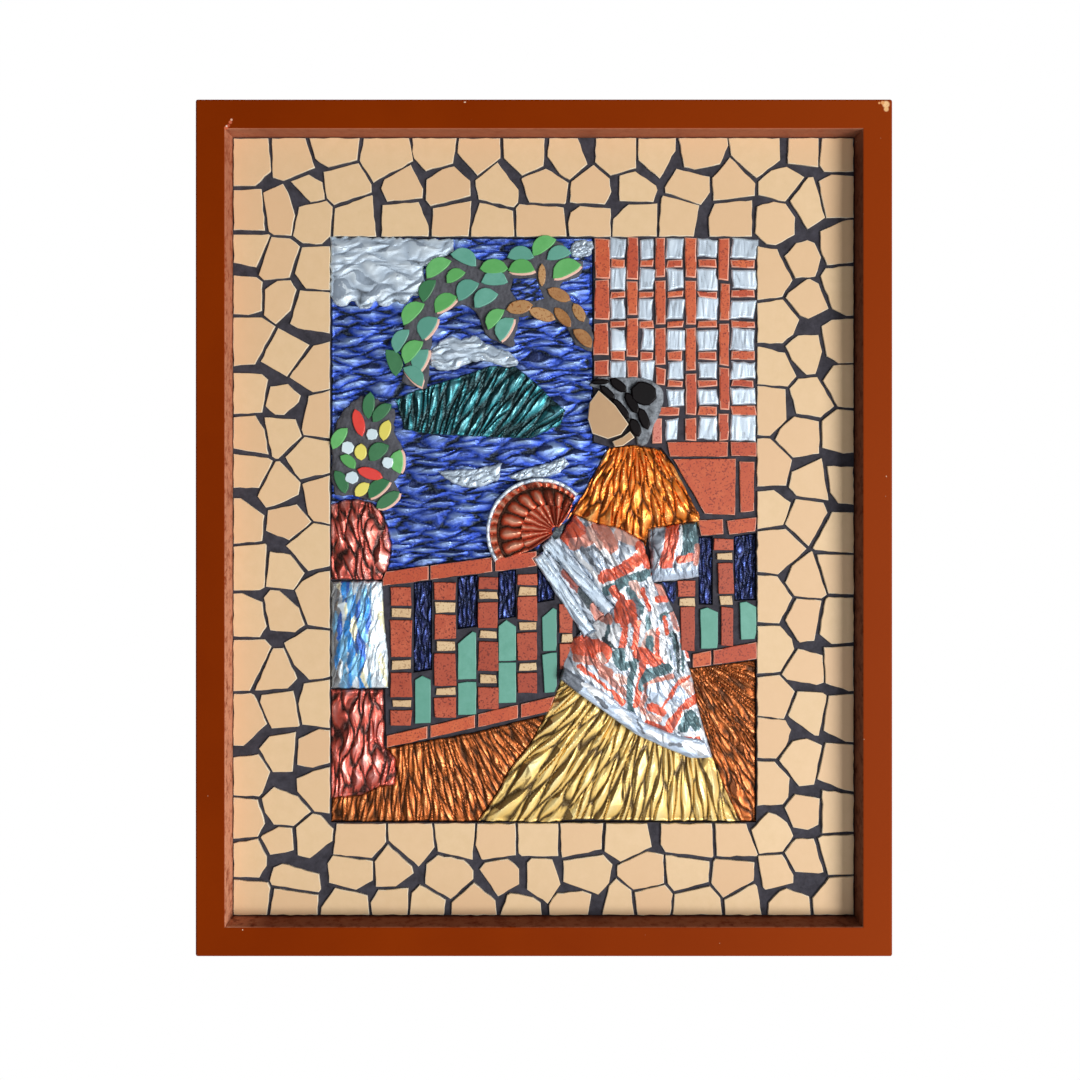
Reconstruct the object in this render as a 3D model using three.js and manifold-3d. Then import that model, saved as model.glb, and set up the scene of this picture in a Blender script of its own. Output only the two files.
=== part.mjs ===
// A framed relief mosaic panel that hangs on a wall: a deep wooden box frame, a backing board, a bed
// of grout, and on it a picture of crumpled coloured foil, cut tile and modelled grout.
//
// Millimetres. +Z is up and the picture faces -Y. The origin is the centre of the back, on the wall.
// An outline is a list of [x, z] corners, and a depth is a distance forward of the wall.

import * as THREE from 'three';
import { mergeVertices } from 'three/addons/utils/BufferGeometryUtils.js';
import Module from 'manifold-3d';

const wasm = await Module();
wasm.setup();

// ---- Driving dimensions ----

const GAP = 0.3; // between two pieces that touch
const OPENING = { halfWidth: 228.5, halfHeight: 286 };
const RAIL = { face: 21.5, depth: 35, edgeRadius: 1.6, rabbetWidth: 6 };
const WINDOW = { left: -156.5, right: 156.5, bottom: -217.5, top: 212.5 };

const DEPTH = {
  boardFront: 9,
  pocketFloor: 11,
  groutTop: 14.5,
  tileTop: 16,
  onSea: 14.1,
  onGrout: 14.8,
  faceTop: 20,
  neckTop: 19.2,
  hairTop: 18.4,
  hairTileTop: 21,
  front: 40, // further forward than any piece, for the cutting prisms
};
const FOIL_BASE = DEPTH.pocketFloor + GAP;

const FINISH = {
  frame: { color: 0x8b3a12, roughness: 0.25 },
  board: { color: 0xb08d62, roughness: 0.8 },
  grout: { color: 0x4b4b53, roughness: 0.9 },
  lightGrout: { color: 0x78787d, roughness: 0.9 },
  terracotta: { color: 0xb9503a, roughness: 0.6 },
  beige: { color: 0xcda87d, roughness: 0.45 },
  black: { color: 0x1c1216, roughness: 0.3 },
  blueFoil: { color: 0x3246aa, roughness: 0.35, metalness: 0.6 },
  silverFoil: { color: 0xc8d2d7, roughness: 0.35, metalness: 0.6 },
  tealFoil: { color: 0x146464, roughness: 0.35, metalness: 0.6 },
  redFoil: { color: 0xbe5046, roughness: 0.35, metalness: 0.6 },
  skyFoil: { color: 0x6fb4dc, roughness: 0.35, metalness: 0.6 },
  copperFoil: { color: 0xaa5f28, roughness: 0.4, metalness: 0.6 },
  goldFoil: { color: 0xd7b45a, roughness: 0.35, metalness: 0.6 },
  orangeFoil: { color: 0xe1821e, roughness: 0.35, metalness: 0.6 },
  printedFoil: { color: 0xc99a8e, roughness: 0.4, metalness: 0.4 },
  fanFoil: { color: 0xaa462d, roughness: 0.35, metalness: 0.6 },
};

// ---- Outlines ----

function anticlockwise(points) {
  const area = THREE.ShapeUtils.area(points.map(([x, z]) => new THREE.Vector2(x, z)));
  return area < 0 ? [...points].reverse() : points;
}

function rectangle(left, right, bottom, top) {
  return [[left, bottom], [right, bottom], [right, top], [left, top]];
}

// A closed smooth line through the corners, with the given number of steps between two of them.
function smooth(points, steps = 3) {
  const corners = points.map(([x, z]) => new THREE.Vector3(x, z, 0));
  const curve = new THREE.CatmullRomCurve3(corners, true, 'centripetal');
  const count = points.length * steps;
  return Array.from({ length: count }, (_, i) => {
    const at = curve.getPoint(i / count);
    return [at.x, at.y];
  });
}

function arc(centre, radius, fromDegrees, toDegrees, steps) {
  return Array.from({ length: steps + 1 }, (_, i) => {
    const angle = THREE.MathUtils.degToRad(fromDegrees + ((toDegrees - fromDegrees) * i) / steps);
    return [centre[0] + radius * Math.cos(angle), centre[1] + radius * Math.sin(angle)];
  });
}

// A lens or a bar, as wide as it says at the middle, turned about its centre.
function lens([x, z], length, width, degrees, steps = 3) {
  const angle = THREE.MathUtils.degToRad(degrees);
  const bow = (along) => (width / 2) * Math.sqrt(1 - Math.abs(along) ** 2.4);
  const side = (sign) => Array.from({ length: 2 * steps }, (_, i) => {
    const along = sign * (-1 + (2 * i) / (2 * steps));
    return [(along * length) / 2, -sign * bow(along)];
  });
  return [...side(1), ...side(-1)].map(([u, v]) => [
    x + u * Math.cos(angle) - v * Math.sin(angle),
    z + u * Math.sin(angle) + v * Math.cos(angle),
  ]);
}

// The outline moved outward by the same distance all round.
function grown(points, distance) {
  const ring = anticlockwise(points);
  return ring.map((corner, i) => {
    const before = ring[(i + ring.length - 1) % ring.length];
    const after = ring[(i + 1) % ring.length];
    const normalOf = (from, to) => {
      const length = Math.hypot(to[0] - from[0], to[1] - from[1]);
      return [(to[1] - from[1]) / length, (from[0] - to[0]) / length];
    };
    const [ax, az] = normalOf(before, corner);
    const [bx, bz] = normalOf(corner, after);
    const reach = distance / Math.max(1 + ax * bx + az * bz, 0.5);
    return [corner[0] + (ax + bx) * reach, corner[1] + (az + bz) * reach];
  });
}

// How far a point is inside an outline, and less than nothing outside it.
function insetOf(points, x, z) {
  let nearest = Infinity;
  let inside = false;
  points.forEach(([ax, az], i) => {
    const [bx, bz] = points[(i + 1) % points.length];
    const [ux, uz] = [bx - ax, bz - az];
    const along = ((x - ax) * ux + (z - az) * uz) / (ux * ux + uz * uz);
    const t = THREE.MathUtils.clamp(along, 0, 1);
    nearest = Math.min(nearest, Math.hypot(x - ax - t * ux, z - az - t * uz));
    if (az > z !== bz > z && x < ax + (ux * (z - az)) / uz) {
      inside = !inside;
    }
  });
  return inside ? nearest : -nearest;
}

// ---- Solids ----

function solidOf(geometry) {
  geometry.deleteAttribute('normal');
  geometry.deleteAttribute('uv');
  const merged = mergeVertices(geometry, 1e-4);
  return new wasm.Manifold(new wasm.Mesh({
    numProp: 3,
    vertProperties: new Float32Array(merged.attributes.position.array),
    triVerts: new Uint32Array(merged.index.array),
  }));
}

function geometryOf(solid) {
  const mesh = solid.getMesh();
  const geometry = new THREE.BufferGeometry();
  geometry.setAttribute('position', new THREE.BufferAttribute(mesh.vertProperties, 3));
  geometry.setIndex(new THREE.BufferAttribute(mesh.triVerts, 1));
  return geometry;
}

// An outline carried straight forward from one depth to another.
function prismGeometry(points, from, to) {
  const shape = new THREE.Shape(anticlockwise(points).map(([x, z]) => new THREE.Vector2(x, z)));
  const geometry = new THREE.ExtrudeGeometry(shape, { depth: to - from, bevelEnabled: false });
  return geometry.rotateX(Math.PI / 2).translate(0, -from, 0);
}

function prism(points, from, to) {
  return solidOf(prismGeometry(points, from, to));
}

// Rows of grid points, lowest row first, fanned out from a centre above or below the piece.
function fanLay({ centre, left, right, columns, near, far, rings }) {
  return Array.from({ length: rings + 1 }, (_, row) => {
    const radius = far + ((near - far) * row) / rings;
    return Array.from({ length: columns + 1 }, (_, column) => {
      const angle = THREE.MathUtils.degToRad(left + ((right - left) * column) / columns);
      return [centre[0] + radius * Math.sin(angle), centre[1] - radius * Math.cos(angle)];
    });
  });
}

// Rows of grid points over an outline, in straight lines that lean by the given angle.
function straightLay({ outline, across, along, lean = 0 }) {
  const angle = THREE.MathUtils.degToRad(lean);
  const turned = outline.map(([x, z]) => [
    x * Math.cos(angle) + z * Math.sin(angle),
    z * Math.cos(angle) - x * Math.sin(angle),
  ]);
  const low = [0, 1].map((axis) => Math.min(...turned.map((point) => point[axis])) - 1);
  const high = [0, 1].map((axis) => Math.max(...turned.map((point) => point[axis])) + 1);
  const columns = Math.ceil((high[0] - low[0]) / across);
  const rows = Math.ceil((high[1] - low[1]) / along);
  return Array.from({ length: rows + 1 }, (_, row) => Array.from({ length: columns + 1 }, (_, column) => {
    const u = low[0] + ((high[0] - low[0]) * column) / columns;
    const v = low[1] + ((high[1] - low[1]) * row) / rows;
    return [u * Math.cos(angle) - v * Math.sin(angle), u * Math.sin(angle) + v * Math.cos(angle)];
  }));
}

// A closed slab whose front follows a depth at each grid point, with its back at one depth.
function frontedSlab(rows, depthAt, back) {
  const width = rows[0].length;
  const points = rows.flat();
  const front = points.map(([x, z], i) => [x, -depthAt(x, z, Math.floor(i / width), i % width), z]);
  const rear = points.map(([x, z]) => [x, -back, z]);
  const faces = [];
  const quad = (a, b, c, d) => faces.push(a, b, c, a, c, d);
  const offset = points.length;
  for (let row = 0; row + 1 < rows.length; row += 1) {
    for (let column = 0; column + 1 < width; column += 1) {
      const a = row * width + column;
      quad(a, a + 1, a + width + 1, a + width);
      quad(offset + a, offset + a + width, offset + a + width + 1, offset + a + 1);
    }
  }
  const topRow = (rows.length - 1) * width;
  for (let column = 0; column + 1 < width; column += 1) {
    quad(column + 1, column, offset + column, offset + column + 1);
    quad(topRow + column, topRow + column + 1, offset + topRow + column + 1, offset + topRow + column);
  }
  for (let row = 0; row + 1 < rows.length; row += 1) {
    const left = row * width;
    const right = left + width - 1;
    quad(left, left + width, offset + left + width, offset + left);
    quad(right + width, right, offset + right, offset + right + width);
  }
  const geometry = new THREE.BufferGeometry();
  geometry.setAttribute('position', new THREE.Float32BufferAttribute([...front, ...rear].flat(), 3));
  geometry.setIndex(faces);
  return solidOf(geometry);
}

// A crumpled or fluted relief: low at its outline, rounding up over the shoulder to its peak, with
// folds that run along the grid's columns.
function relief({ outline, lay, base = FOIL_BASE, edge, peak, shoulder, fold = 0, cross = 0 }) {
  const depthAt = (x, z, row, column) => {
    const share = THREE.MathUtils.clamp(insetOf(outline, x, z) / shoulder, 0, 1);
    const round = Math.sqrt(1 - (1 - share) ** 2);
    const ridge = (column % 2 ? fold : -fold) + ((row + Math.floor(column / 2)) % 2 ? cross : -cross);
    return Math.max(edge + (peak - edge) * round + ridge * (0.4 + 0.6 * round), base + 0.5);
  };
  return frontedSlab(lay, depthAt, base - 1).intersect(prism(outline, base, DEPTH.front));
}

// A solid with the outlines of the pieces in front of it cut away, each with a gap round it. A sliver
// that the cuts leave loose is dropped.
function cutFor(solid, outlines) {
  const left = outlines.reduce(
    (rest, outline) => rest.subtract(prism(grown(outline, GAP), DEPTH.pocketFloor, DEPTH.front)),
    solid,
  );
  return left.decompose().reduce((most, body) => (body.volume() > most.volume() ? body : most));
}

// ---- The group ----

const panel = new THREE.Group();

function add(name, shape, finish) {
  const geometry = shape.isBufferGeometry ? shape : geometryOf(shape);
  const material = new THREE.MeshStandardMaterial(FINISH[finish]);
  const mesh = new THREE.Mesh(geometry, material);
  mesh.name = name;
  panel.add(mesh);
  return mesh;
}

// ---- Frame rails: one rabbeted section, mitred at the corners ----

function railSection() {
  const { face, depth, edgeRadius, rabbetWidth } = RAIL;
  const section = new THREE.Shape();
  section.moveTo(face, 0);
  section.lineTo(face, depth - edgeRadius);
  section.absarc(face - edgeRadius, depth - edgeRadius, edgeRadius, 0, Math.PI / 2);
  section.lineTo(edgeRadius, depth);
  section.absarc(edgeRadius, depth - edgeRadius, edgeRadius, Math.PI / 2, Math.PI);
  section.lineTo(0, DEPTH.boardFront + GAP);
  section.lineTo(rabbetWidth, DEPTH.boardFront + GAP);
  section.lineTo(rabbetWidth, 0);
  return section;
}

// The rail lies along X with its opening side down; its two ends are mitred.
function railGeometry(halfLength) {
  const geometry = new THREE.ExtrudeGeometry(railSection(), { depth: 1, bevelEnabled: false, curveSegments: 3 });
  const position = geometry.attributes.position;
  for (let i = 0; i < position.count; i += 1) {
    const outward = position.getX(i);
    const forward = position.getY(i);
    const side = position.getZ(i) > 0.5 ? 1 : -1;
    position.setXYZ(i, side * (halfLength + outward - GAP / 2), -forward, outward);
  }
  return solidOf(geometry);
}

function addRail(name, halfLength, reach, degrees) {
  const rail = add(name, railGeometry(halfLength), 'frame');
  const turn = THREE.MathUtils.degToRad(degrees);
  rail.rotation.y = turn;
  rail.position.set(reach * Math.sin(turn), 0, reach * Math.cos(turn));
}

addRail('frame_rail_top', OPENING.halfWidth, OPENING.halfHeight, 0);
addRail('frame_rail_right', OPENING.halfHeight, OPENING.halfWidth, 90);
addRail('frame_rail_bottom', OPENING.halfWidth, OPENING.halfHeight, 180);
addRail('frame_rail_left', OPENING.halfHeight, OPENING.halfWidth, 270);

// ---- Backing board, lying in the rails' rabbet ----

{
  const width = 2 * (OPENING.halfWidth + RAIL.rabbetWidth - GAP);
  const height = 2 * (OPENING.halfHeight + RAIL.rabbetWidth - GAP);
  const board = add('backing_board', new THREE.BoxGeometry(width, DEPTH.boardFront, height), 'board');
  board.position.y = -DEPTH.boardFront / 2;
}

// ---- Outlines of the picture ----

const LEFT = WINDOW.left + GAP;
const RIGHT = WINDOW.right - GAP;
const BOTTOM = WINDOW.bottom + GAP;
const TOP = WINDOW.top - GAP;

const FAN = { centre: [-2.6, -3.9], radius: 39.6, rim: 3, pivot: [9, -3], from: 45, to: 213 };

const handrailTop = (x) => -33.5 + 0.136 * (x + 118);
const handrailBottom = (x) => -43.5 + 0.13 * (x + 118);
const plinthTop = (x) => -153.6 + 0.236 * (x + 115);
const plinthBottom = (x) => plinthTop(x) - 8.6 - 0.012 * (x + 115);
const rightPlinthTop = (x) => -93.6 + 0.19 * (x - 110);
const rightPlinthBottom = (x) => -103.4 + 0.14 * (x - 110);

const between = (left, right, top, bottom) => [
  [left, bottom(left)], [right, bottom(right)], [right, top(right)], [left, top(left)],
];

const HANDRAIL = [[-118, -84.6], [-82.9, -37.8], [-35.5, -5.2]];
const PLINTH = [[-115, -85.4], [-83, -50.4], [-48, -19], [-16.6, 10]];
const RIGHT_PLINTH = [[109.6, 122.8], [124.8, RIGHT]];
const WALL = [
  [[93, 51.5], [135, 51.5], [135.4, 62], [91, 62]],
  [[138, 52], [RIGHT, 51.5], [RIGHT, 61.8], [137.4, 62.2]],
  [[118.5, 9.5], [140.5, 8.5], [141, 49.8], [95.4, 49.5], [106, 31]],
  [[144.8, 10.5], [154.5, 11.5], [154.8, 47.5], [143.8, 47.8]],
  [[115.6, -6.5], [132, -5.5], [131.6, 5.4], [113.8, 4.8]],
  [[136.4, -5.8], [155.4, -3.4], [RIGHT, 6.8], [134.8, 4.2]],
];
const LEFT_STRIPS = [[-95.4, -82.2, -107.3], [-63.2, -48.6, -75.4], [-33.2, -20.4, -68.3], [-4.4, 8, -56]];
const RIGHT_STRIPS = [
  [[113.8, -7.6], [124.2, -7.2], [124.2, -57.4], [114.4, -57.2]],
  [[140.2, -7.4], [RIGHT, -5], [RIGHT, -54], [140.6, -54.4]],
];

const OUTLINE = {
  sea: [
    [LEFT, -33.2], [-118.6, -33], [-82.9, -28.2], [-37.6, -21.9], [-5.2, -17.6], [2, -9], [19, 5],
    [48, 58.5], [36.2, 62], [36.2, TOP], [LEFT, TOP],
  ],
  cloudLeft: [
    [LEFT, 171], ...arc([-147.6, 170.6], 8, 190, 330, 4), ...arc([-131.6, 168.6], 7.6, 200, 330, 4),
    ...arc([-116.4, 169.8], 7.4, 205, 320, 4), ...arc([-103.4, 169.6], 5.6, 220, 350, 4),
    [-88.6, 171.4], [-88.2, 190], [-72, 194], [-65.6, 198.6], [-66.8, 208.6], [-98, 209.6], [LEFT, 210.4],
  ],
  cloudLow: smooth([
    [-84.7, 126], [-82.6, 117.6], [-73.4, 115], [-62.6, 116.4], [-52.4, 121.4], [-40, 121.2],
    [-29.6, 117.4], [-19.4, 118.4], [-19, 123], [-30.4, 130.6], [-42.4, 134.4], [-49.6, 140.2],
    [-60.4, 137.4], [-67, 139.8], [-76.4, 135.8],
  ], 2),
  cloudCorner: smooth([[20.4, 206], [21, 199], [27.6, 197.6], [35.4, 200.6], [35.8, 209.4], [24, 209.8]], 2),
  hill: [
    [-109, 93], [-94, 100], [-65, 109], [-39, 118], [-21, 118], [-6, 106], [8, 92], [16, 85.5],
    [12.4, 74.5], [-10, 64.6], [-54, 66.4], [-84, 68], [-102, 71],
  ],
  sailLeft: [
    [-74.5, 41], ...arc([-53, 60], 31.4, 218, 292, 5), [-32.6, 34.6], [-30.5, 46.7], [-50, 42.4],
  ],
  sailRight: [[-26.4, 37], [-19, 33.4], [2, 36.6], [12, 39.6], [19, 46], [15.4, 51.2], [4, 46.6], [-12, 42.6]],
  pillarTop: [
    [LEFT, -39], [-118.4, -39], [-114, -27.6], ...smooth([[-112.4, -14], [-115.4, 0], [-119.6, 11]], 1),
    [-127, 17.4], [-137, 20], [-146, 19.6], [LEFT, 16],
  ],
  pillarMiddle: [
    [LEFT, -118.8], [-114.4, -118.8], [-114.2, -98], [-117.2, -68], [-118.6, -40.4], [LEFT, -40.4],
  ],
  pillarBase: [
    [LEFT, -199.6], [-134, -197.6], [-120, -190.6], [-110, -189.6], [-108.4, -181], [-109.6, -171],
    [-117.6, -161.4], [-117.6, -140], [-118.4, -120.2], [LEFT, -120.2],
  ],
  floorLeft: [
    [LEFT, BOTTOM], [-46.6, BOTTOM], [-20, -183], [12, -137], [-16, -143.4], [-48, -151.6],
    [-115.4, -163.4], [-118, -190], [LEFT, -200],
  ],
  floorRight: [
    [145.6, BOTTOM], [RIGHT, BOTTOM], [RIGHT, -98.4], [124, -102.8], [107.4, -104.6],
    [109.6, -127], [118, -169],
  ],
  skirt: [
    [-47.6, BOTTOM + 0.6], [-12, BOTTOM], [4, BOTTOM - 0.4], [24, BOTTOM + 2], [60, BOTTOM + 1], [144.6, BOTTOM + 0.4],
    [134, -194], [123.6, -168], [60, -140], [14, -110], [6, -131], [-8, -158], [-26, -181], [-34, -197],
  ],
  bodice: [
    [48.7, 57.7], [66, 60], [85.4, 56.2], [94.2, 45.2], [104, 26], [113.2, 6.8], [111.6, -4], [78, -2.5],
    [74.4, -16.4], [52, -4], [23, 9.3], [19.4, 4.9], [32, 26],
  ],
  shawl: [
    [12, -8.6], [22.6, 8.4], [40, 1.6], [56, -1.4], [73.4, -11.6], [78.6, -30], [81.6, -42.4],
    [90, -60], [97.2, -83], [104.4, -96.6], [109.6, -112.4], [112.4, -130], [117.6, -148], [123.6, -168.4],
    [112, -166.4], [94, -159.6], [76, -151.6], [56, -140], [36, -126.6], [14.6, -111.4], [14, -102],
    [20.6, -84], [34, -72.6], [50.6, -59.4],
  ],
  sleeve: [[78.8, -2], [96, 1], [110.8, 2.8], [113.2, -16], [112.6, -36.4], [98, -39], [81.8, -40.6]],
};

// A straight pleated band, from one end of its centre line to the other.
function bandOutline([x0, z0], [x1, z1], width) {
  const length = Math.hypot(x1 - x0, z1 - z0);
  const [nx, nz] = [((z0 - z1) / length) * (width / 2), ((x1 - x0) / length) * (width / 2)];
  return [[x0 - nx, z0 - nz], [x1 - nx, z1 - nz], [x1 + nx, z1 + nz], [x0 + nx, z0 + nz]];
}

const BANDS = {
  shawl_band_upper: bandOutline([2.6, -10.4], [48.4, -62.4], 9.4),
  shawl_band_lower: bandOutline([-3.8, -21], [33.6, -78.4], 9.4),
};

function fanOutline(radius) {
  const rim = arc(FAN.centre, radius, FAN.from, FAN.to, 18);
  const [start, end] = [rim[0], rim[rim.length - 1]];
  const chord = new THREE.QuadraticBezierCurve(
    new THREE.Vector2(end[0], end[1]),
    new THREE.Vector2(FAN.pivot[0] + 2, FAN.pivot[1] - 14),
    new THREE.Vector2(start[0], start[1]),
  );
  return [...rim, ...chord.getPoints(8).slice(1, -1).map((point) => [point.x, point.y])];
}

const FAN_FOIL = fanOutline(FAN.radius - FAN.rim);
const FAN_RIM = [
  ...arc(FAN.centre, FAN.radius, FAN.from, FAN.to, 18),
  ...arc(FAN.centre, FAN.radius - FAN.rim + GAP, FAN.to, FAN.from, 18),
];

const HEAD = {
  face: [[40.2, 99.7], [33.6, 90.6], [32.4, 79], [35.7, 68.2], [47, 64.3], [56.6, 67.4], [62.1, 75], [52.5, 88.5]],
  neck: [[53.6, 55.9], [66.5, 65.3], [63.4, 69.8], [58, 65.6], [50.4, 62.4]],
  mound: smooth([
    [33.4, 103.6], [40, 109.4], [56, 109.6], [72, 109.2], [83.6, 104.4], [88, 98.6], [86, 84],
    [80, 72], [76, 60.4], [68.6, 60.2], [68, 67], [63.6, 71.4], [63.4, 75.4], [53.6, 90], [41, 101.2],
  ], 2),
};
const HAIR_TILES = [
  lens([41.4, 106], 12, 3.4, 3), lens([46.6, 98.4], 12.6, 4.4, -42), lens([54.6, 103.6], 13, 6, -38),
  lens([73.2, 97.4], 17, 14, -20), lens([56.4, 86.6], 16, 5, -50), lens([64.4, 90.6], 15.4, 6, -60),
  lens([73.2, 79], 14.6, 6, -68), lens([66.9, 72.6], 12.4, 6.4, -66),
];

const CANOPY = smooth([
  [-104, 107], [-101.6, 119], [-108, 136], [-100.6, 150], [-99, 163], [-87.6, 172], [-86, 190],
  [-75, 196.4], [-58, 201], [-46, 195], [-36, 195.4], [-26, 197], [-16, 203], [-8, 201], [2, 210.6],
  [14, 208], [20, 197], [29, 194.6], [26, 184], [12, 177.6], [16, 168], [24, 164], [34, 152],
  [35.6, 128.6], [22, 136], [16, 148], [2, 152.4], [-18, 154], [-22, 132], [-30, 134], [-42, 140.6],
  [-50, 157.6], [-60, 163], [-78, 153], [-82, 136], [-84, 118], [-86, 101.6], [-96, 102.6],
], 2);
const BUSH = smooth([
  [-153, 23], [-155.4, 46], [-154, 70], [-148, 84], [-134, 96], [-120, 92], [-109.6, 86], [-110, 70],
  [-104, 58], [-102, 42], [-110, 33], [-106, 26], [-112, 16.6], [-126, 18.6], [-140, 22.8],
], 2);

// ---- Grout bed: thick under the border and the brickwork, with pockets for the foil and the tiles ----

const MASONRY = [
  [
    [36.8, WINDOW.top + 1], [WINDOW.right + 1, WINDOW.top + 1], [WINDOW.right + 1, -97.6],
    [124, -102.2], [107.6, -104], [84, -46], [84, -42], [112.6, -38], [114, 8], [95, 47], [86.6, 58],
    [62, 60], [50, 55], [37, 62.6],
  ],
  [
    [-118.2, -34.6], [-82.9, -29.2], [-5, -18.6], [8, -24], [24, -56], [24, -100], [13, -112],
    [12.4, -135.6], [-16.6, -142.4], [-115.4, -162.6],
  ],
];

const handrailOutlines = HANDRAIL.map(([left, right]) => between(left, right, handrailTop, handrailBottom));
const plinthOutlines = PLINTH.map(([left, right]) => between(left, right, plinthTop, plinthBottom));
const rightPlinthOutlines = RIGHT_PLINTH.map(
  ([left, right]) => between(left, right, rightPlinthTop, rightPlinthBottom),
);
const leftStripOutlines = LEFT_STRIPS.map(([left, right, bottom]) => [
  [left, bottom], [right, bottom + 2], [right, handrailBottom(right) - 1], [left, handrailBottom(left) - 1],
]);
const stripOutlines = [...leftStripOutlines, ...RIGHT_STRIPS];
const tileOutlines = [...handrailOutlines, ...plinthOutlines, ...rightPlinthOutlines, ...WALL];
const pocketedFoils = [
  OUTLINE.pillarTop, OUTLINE.pillarMiddle, OUTLINE.pillarBase, OUTLINE.floorLeft, OUTLINE.floorRight,
  OUTLINE.skirt, OUTLINE.bodice, OUTLINE.shawl, OUTLINE.sleeve, ...Object.values(BANDS),
];

function groutBed() {
  const { halfWidth, halfHeight } = OPENING;
  const plate = prism(
    rectangle(-halfWidth + GAP, halfWidth - GAP, -halfHeight + GAP, halfHeight - GAP),
    DEPTH.boardFront + GAP,
    DEPTH.groutTop,
  );
  const window = prism(
    rectangle(WINDOW.left, WINDOW.right, WINDOW.bottom, WINDOW.top),
    DEPTH.pocketFloor,
    DEPTH.front,
  );
  const pads = MASONRY.map((outline) => prism(outline, DEPTH.pocketFloor - 1, DEPTH.groutTop));
  const padded = pads.reduce((bed, pad) => bed.add(pad), plate.subtract(window));
  return cutFor(padded, [OUTLINE.sea, ...pocketedFoils, ...stripOutlines, ...tileOutlines]);
}

add('grout_bed', groutBed(), 'grout');

// ---- Tiles large enough to be pieces here: handrail, plinths and wall blocks ----

function addTiles(prefix, outlines) {
  outlines.forEach((outline, i) => {
    const tile = prism(outline, FOIL_BASE, DEPTH.tileTop);
    add(`${prefix}_${i + 1}`, cutFor(tile, pocketedFoils), 'terracotta');
  });
}

addTiles('handrail_tile', handrailOutlines);
addTiles('plinth_tile', plinthOutlines);
addTiles('right_plinth_tile', rightPlinthOutlines);
addTiles('wall_block', WALL);

// ---- Foil reliefs of the landscape ----

add('sea_and_sky_foil', cutFor(relief({
  outline: OUTLINE.sea,
  lay: straightLay({ outline: OUTLINE.sea, across: 26, along: 9 }),
  edge: 12.3, peak: 13, shoulder: 4, fold: 0.25, cross: 0.5,
}), [OUTLINE.pillarTop, OUTLINE.bodice, BANDS.shawl_band_upper, BANDS.shawl_band_lower]), 'blueFoil');

stripOutlines.forEach((outline, i) => {
  const lay = straightLay({ outline, across: 3.4, along: 17 });
  const strip = relief({ outline, lay, edge: 12.6, peak: 14.6, shoulder: 5, fold: 0.3, cross: 0.3 });
  add(`railing_foil_${i + 1}`, cutFor(strip, pocketedFoils), 'blueFoil');
});

const ON_SEA = { base: DEPTH.onSea, edge: 15.2, shoulder: 7 };
const leafBeds = [CANOPY, BUSH];

function addOnSea(name, outline, finish, lay, peak, cutters = leafBeds) {
  const piece = relief({ ...ON_SEA, outline, lay: straightLay({ outline, ...lay }), peak, fold: 0.5, cross: 0.3 });
  add(name, cutFor(piece, cutters), finish);
}

addOnSea('cloud_foil_left', OUTLINE.cloudLeft, 'silverFoil', { across: 12, along: 6, lean: 8 }, 18);
addOnSea('cloud_foil_low', OUTLINE.cloudLow, 'silverFoil', { across: 10, along: 5 }, 18);
addOnSea('cloud_foil_corner', OUTLINE.cloudCorner, 'silverFoil', { across: 6, along: 5 }, 17);
addOnSea('hill_foil', OUTLINE.hill, 'tealFoil', { across: 7, along: 12, lean: -30 }, 18.6, [
  ...leafBeds, OUTLINE.cloudLow,
]);
addOnSea('sail_foil_left', OUTLINE.sailLeft, 'silverFoil', { across: 8, along: 6, lean: 10 }, 18);
addOnSea('sail_foil_right', OUTLINE.sailRight, 'silverFoil', { across: 5, along: 8, lean: 18 }, 17.6, [
  fanOutline(FAN.radius),
]);

function addPillar(name, outline, finish) {
  const lay = straightLay({ outline, across: 5, along: 16 });
  add(name, relief({ outline, lay, edge: 14, peak: 21, shoulder: 20, fold: 0.7, cross: 0.4 }), finish);
}

addPillar('pillar_foil_top', OUTLINE.pillarTop, 'redFoil');
addPillar('pillar_foil_middle', OUTLINE.pillarMiddle, 'skyFoil');
addPillar('pillar_foil_base', OUTLINE.pillarBase, 'redFoil');

const floorFold = { edge: 12.6, peak: 14.6, shoulder: 8, fold: 0.6, cross: 0.2 };
const leftFloorLay = { centre: [-105, -60], left: -24, right: 64, columns: 30, near: 74, far: 190, rings: 5 };
const rightFloorLay = { centre: [95, -85], left: -2, right: 82, columns: 18, near: 8, far: 152, rings: 6 };
add('floor_foil_left', cutFor(
  relief({ ...floorFold, outline: OUTLINE.floorLeft, lay: fanLay(leftFloorLay) }),
  [OUTLINE.pillarBase, OUTLINE.skirt, ...plinthOutlines],
), 'copperFoil');
add('floor_foil_right', cutFor(
  relief({ ...floorFold, outline: OUTLINE.floorRight, lay: fanLay(rightFloorLay) }),
  [OUTLINE.skirt, OUTLINE.shawl, ...rightPlinthOutlines],
), 'copperFoil');

// ---- The figure ----

const skirtLay = { centre: [65, -27], left: -34, right: 28, columns: 44, near: 70, far: 238, rings: 6 };
add('skirt_foil', cutFor(
  relief({ outline: OUTLINE.skirt, lay: fanLay(skirtLay), edge: 14, peak: 22, shoulder: 22, fold: 0.9, cross: 0.3 }),
  [OUTLINE.shawl],
), 'goldFoil');

const bodiceLay = { centre: [67, 91], left: -36, right: 36, columns: 26, near: 26, far: 124, rings: 6 };
add('bodice_foil', cutFor(
  relief({ outline: OUTLINE.bodice, lay: fanLay(bodiceLay), edge: 14, peak: 22, shoulder: 18, fold: 0.8, cross: 0.3 }),
  [OUTLINE.shawl, OUTLINE.sleeve, grown(FAN_RIM, 0.2)],
), 'orangeFoil');

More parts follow.
